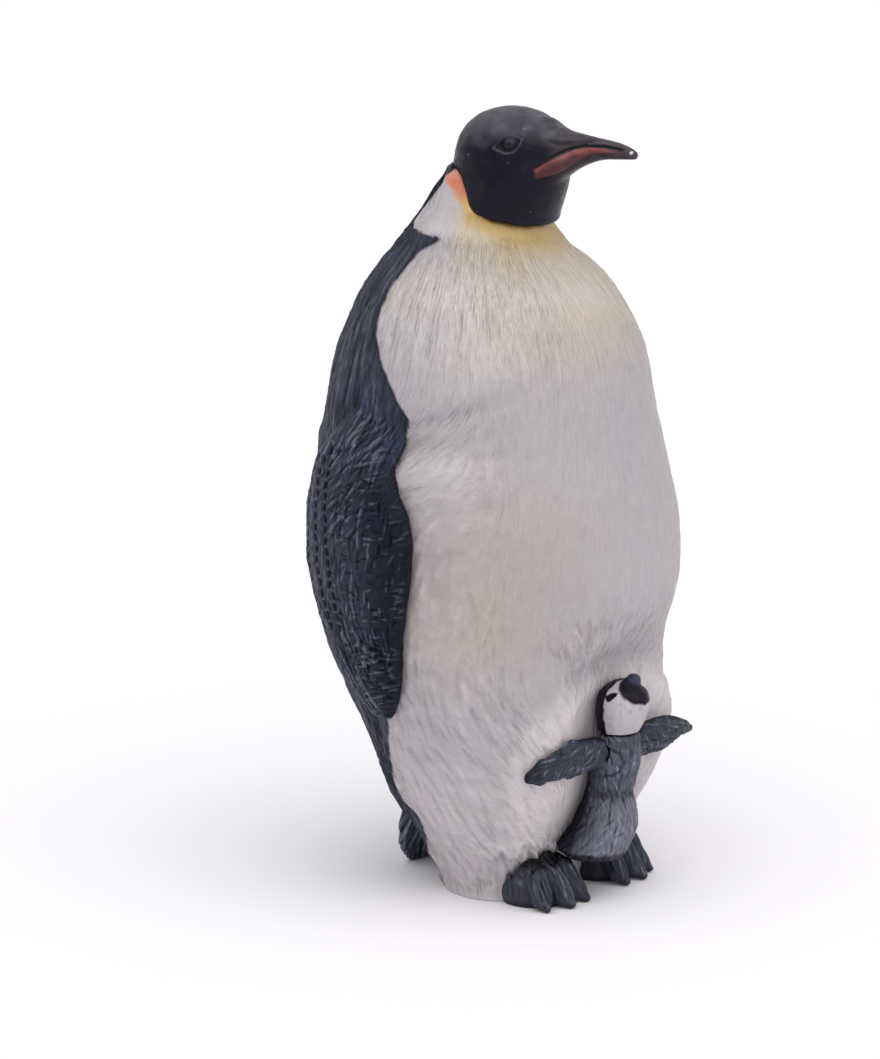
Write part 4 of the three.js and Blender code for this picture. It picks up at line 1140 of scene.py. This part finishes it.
def chick_head_look(points, normals):
    x, y, z = points.T
    jag = grain(points, 0.5, 91)
    rough = points + 0.12 * jag[:, None]
    lobe = ellipsoid_share(rough, CHICK_LOBE, CHICK_LOBE_RADII, 0.07)
    turn = abs(np.arctan2(x - CHICK_HEAD_MIDDLE[0], y - CHICK_HEAD_MIDDLE[1]))
    band = ramp(1.38, 1.3, turn + 0.1 * jag)
    arch = ramp(27.0, 27.25, z + 0.12 * jag)
    mirrored = np.column_stack([abs(x - CHICK_HEAD_MIDDLE[0]), y, z])
    slit = np.zeros(len(points))
    for share in np.linspace(0, 1, 6):
        middle = np.array(CHICK_EYE_REAR) * (1 - share) + np.array(CHICK_EYE_FRONT) * share
        slit = np.maximum(slit, ellipsoid_share(mirrored, middle, [0.45 - 0.05 * share] * 3, 0.15))
    dark = np.maximum.reduce([lobe, band, arch])
    spots = [(BELLY_GREY_AND_SHADE, 0.5 * ellipsoid_share(rough, spot, [0.3] * 3, 0.4)) for spot in CHICK_SPOTS]
    knob = ellipsoid_share(points, CHICK_KNOB, [0.95] * 3, 0.3)
    paint = layered(
        CHICK_WHITE,
        (BELLY_GREY_AND_SHADE, 0.3 * ramp(0.3, 0.9, jag)),
        *spots,
        (mix(CHICK_BLACK, CHICK_BROWN, ramp(0.1, 0.8, jag)), dark),
        (BLACK, slit),
        (SLATE_TONE, 0.6 * knob),
    )
    rise = 0.1 + 0.12 * lobe + 0.07 * np.maximum(band, arch) - 0.08 * slit + 0.03 * jag * dark
    return rise, paint, strands_along(x, z, 0.3, 1.0, 0.3)


def refitted(breadth, length, kept, points):
    """A chick's flipper of another breadth and length, with a share of its height kept where it is."""
    out, z = abs(points[:, 0]), points[:, 2]
    tip = out.max()
    steps = np.linspace(out.min(), tip, 24)
    still = np.polyfit(steps, [np.quantile(z[abs(out - step) < 0.5], kept) for step in steps], 3)
    growth = np.minimum(breadth * ramp(7.5, 12.5, out), ramp(tip, tip - 2.4, out))
    longer = length * ramp(tip - 3, tip, out) * np.sign(points[:, 0])
    taller = (z - np.polyval(still, out)) * growth
    return points + np.column_stack([longer, np.zeros(len(points)), taller])


def chick_flipper_look(side, seed, points, normals):
    """Look of the chick's flipper on the side of that sign of x."""
    out, z = points[:, 0] * side, points[:, 2]
    rng = np.random.default_rng(seed)
    relief = Relief(span(out), span(z), 0.08)
    for u, v in scattered(rng, span(out), span(z), (0.8, 0.7)):
        heading = rng.choice([1.3, 1.3, 0.4]) + rng.normal(0, 0.2)
        length, width = rng.uniform(0.8, 1.9), rng.uniform(0.28, 0.36)
        relief.stroke(u, v, heading, length, width, rng.choice([0.06, -0.06]))
    drawn = relief.at(out, z) * ramp(0.1, 0.5, -normals[:, 1])
    jag = grain(points, 0.5, seed + 1)
    # Painted shade where the surface turns away from the front, and a darker tip
    rim = ramp(0.95, 0.65, -normals[:, 1] + 0.1 * jag)
    tip = ramp(-2.6, -1.0, out - out.max() + 0.4 * jag)
    paint = layered(
        WING_TONE,
        (DOWN_DEEP, 0.65 * ramp(0, -0.08, drawn)),
        (DOWN_RIDGE, 0.4 * ramp(0.01, 0.09, drawn + 0.01 * jag)),
        (CHICK_BLACK, np.maximum(0.85 * rim, 0.65 * tip)),
    )
    lay = strands_along(z, out, 0.3, 1.6, 0.8)
    return drawn + 0.05 * grain(points, 1.2, seed + 2), paint, lay


make_torso()
dress("head", HEAD_MESH, head_look, "hood_paint", bill_kept_long)
dress("tail", TAIL_MESH, tail_look, "foot_paint", tail_filled)
dress("chick_body", CHICK_BODY_MESH, chick_body_look, "down_paint")
dress("chick_head", CHICK_HEAD_MESH, chick_head_look, "white_paint", chick_head_place)
for side, word in ((-1, "right"), (1, "left")):
    flipper = partial(flipper_look, side, FLIPPER_SEED + side)
    dress("flipper_" + word, FLIPPER_MESH, flipper, "slate_paint", into_shoulder)
    foot = partial(foot_look, side, FOOT_SEED + side)
    dress("foot_" + word, FOOT_MESH, foot, "foot_paint")
    small = partial(chick_flipper_look, side, CHICK_FLIPPER_SEED + side)
    refit = partial(refitted, *CHICK_FLIPPERS[word])
    dress("chick_flipper_" + word, CHICK_FLIPPER_MESH, small, "down_paint", refit)


# Floor, light and camera


def make_floor():
    material = bpy.data.materials.new("pale_floor")
    material.use_nodes = True
    shader = material.node_tree.nodes["Principled BSDF"]
    shader.inputs["Roughness"].default_value = FLOOR_ROUGHNESS
    shader.inputs["Base Color"].default_value = FLOOR_TONE
    mesh = bpy.data.meshes.new("floor")
    signs = [(-1, -1), (1, -1), (1, 1), (-1, 1)]
    corners = [(x * FLOOR_HALF, y * FLOOR_HALF, 0) for x, y in signs]
    mesh.from_pydata(corners, [], [(0, 1, 2, 3)])
    mesh.materials.append(material)
    floor = placed("floor", mesh)


def away_from(azimuth, elevation, distance):
    """A place at a distance from the middle of the figure, with azimuth 0 in front of it."""
    flat = distance * math.cos(elevation)
    way = Vector((math.sin(azimuth) * flat, -math.cos(azimuth) * flat, distance * math.sin(elevation)))
    return (Vector(CAMERA_TARGET) + way) * MM


def aim(thing, place):
    thing.location = place
    heading = Vector(CAMERA_TARGET) * MM - place
    thing.rotation_euler = heading.to_track_quat("-Z", "Y").to_euler()


def make_sun(name, azimuth, elevation, spread_angle, strength):
    lamp = bpy.data.lights.new(name, "SUN")
    lamp.angle = math.radians(spread_angle)
    lamp.energy = strength
    place = away_from(math.radians(azimuth), math.radians(elevation), CAMERA_DISTANCE)
    aim(placed(name, lamp), place)


def make_stage():
    make_floor()
    world = bpy.data.worlds.new("studio")
    bpy.context.scene.world = world
    world.use_nodes = True
    background = world.node_tree.nodes["Background"]
    background.inputs["Color"].default_value = ROOM_TONE
    background.inputs["Strength"].default_value = ROOM_STRENGTH
    make_sun("softbox", *SOFTBOX)
    make_sun("fill", *FILL)
    bpy.context.scene.view_settings.view_transform = "Standard"


def make_camera():
    lens = bpy.data.cameras.new("camera")
    lens.sensor_fit = "VERTICAL"
    lens.sensor_height = SENSOR
    lens.lens = FOCAL * SENSOR / PHOTO_HEIGHT
    lens.clip_start = CLIP_START
    camera = placed("camera", lens)
    aim(camera, away_from(CAMERA_AZIMUTH, CAMERA_ELEVATION, CAMERA_DISTANCE))
    bpy.context.scene.camera = camera


make_stage()
make_camera()
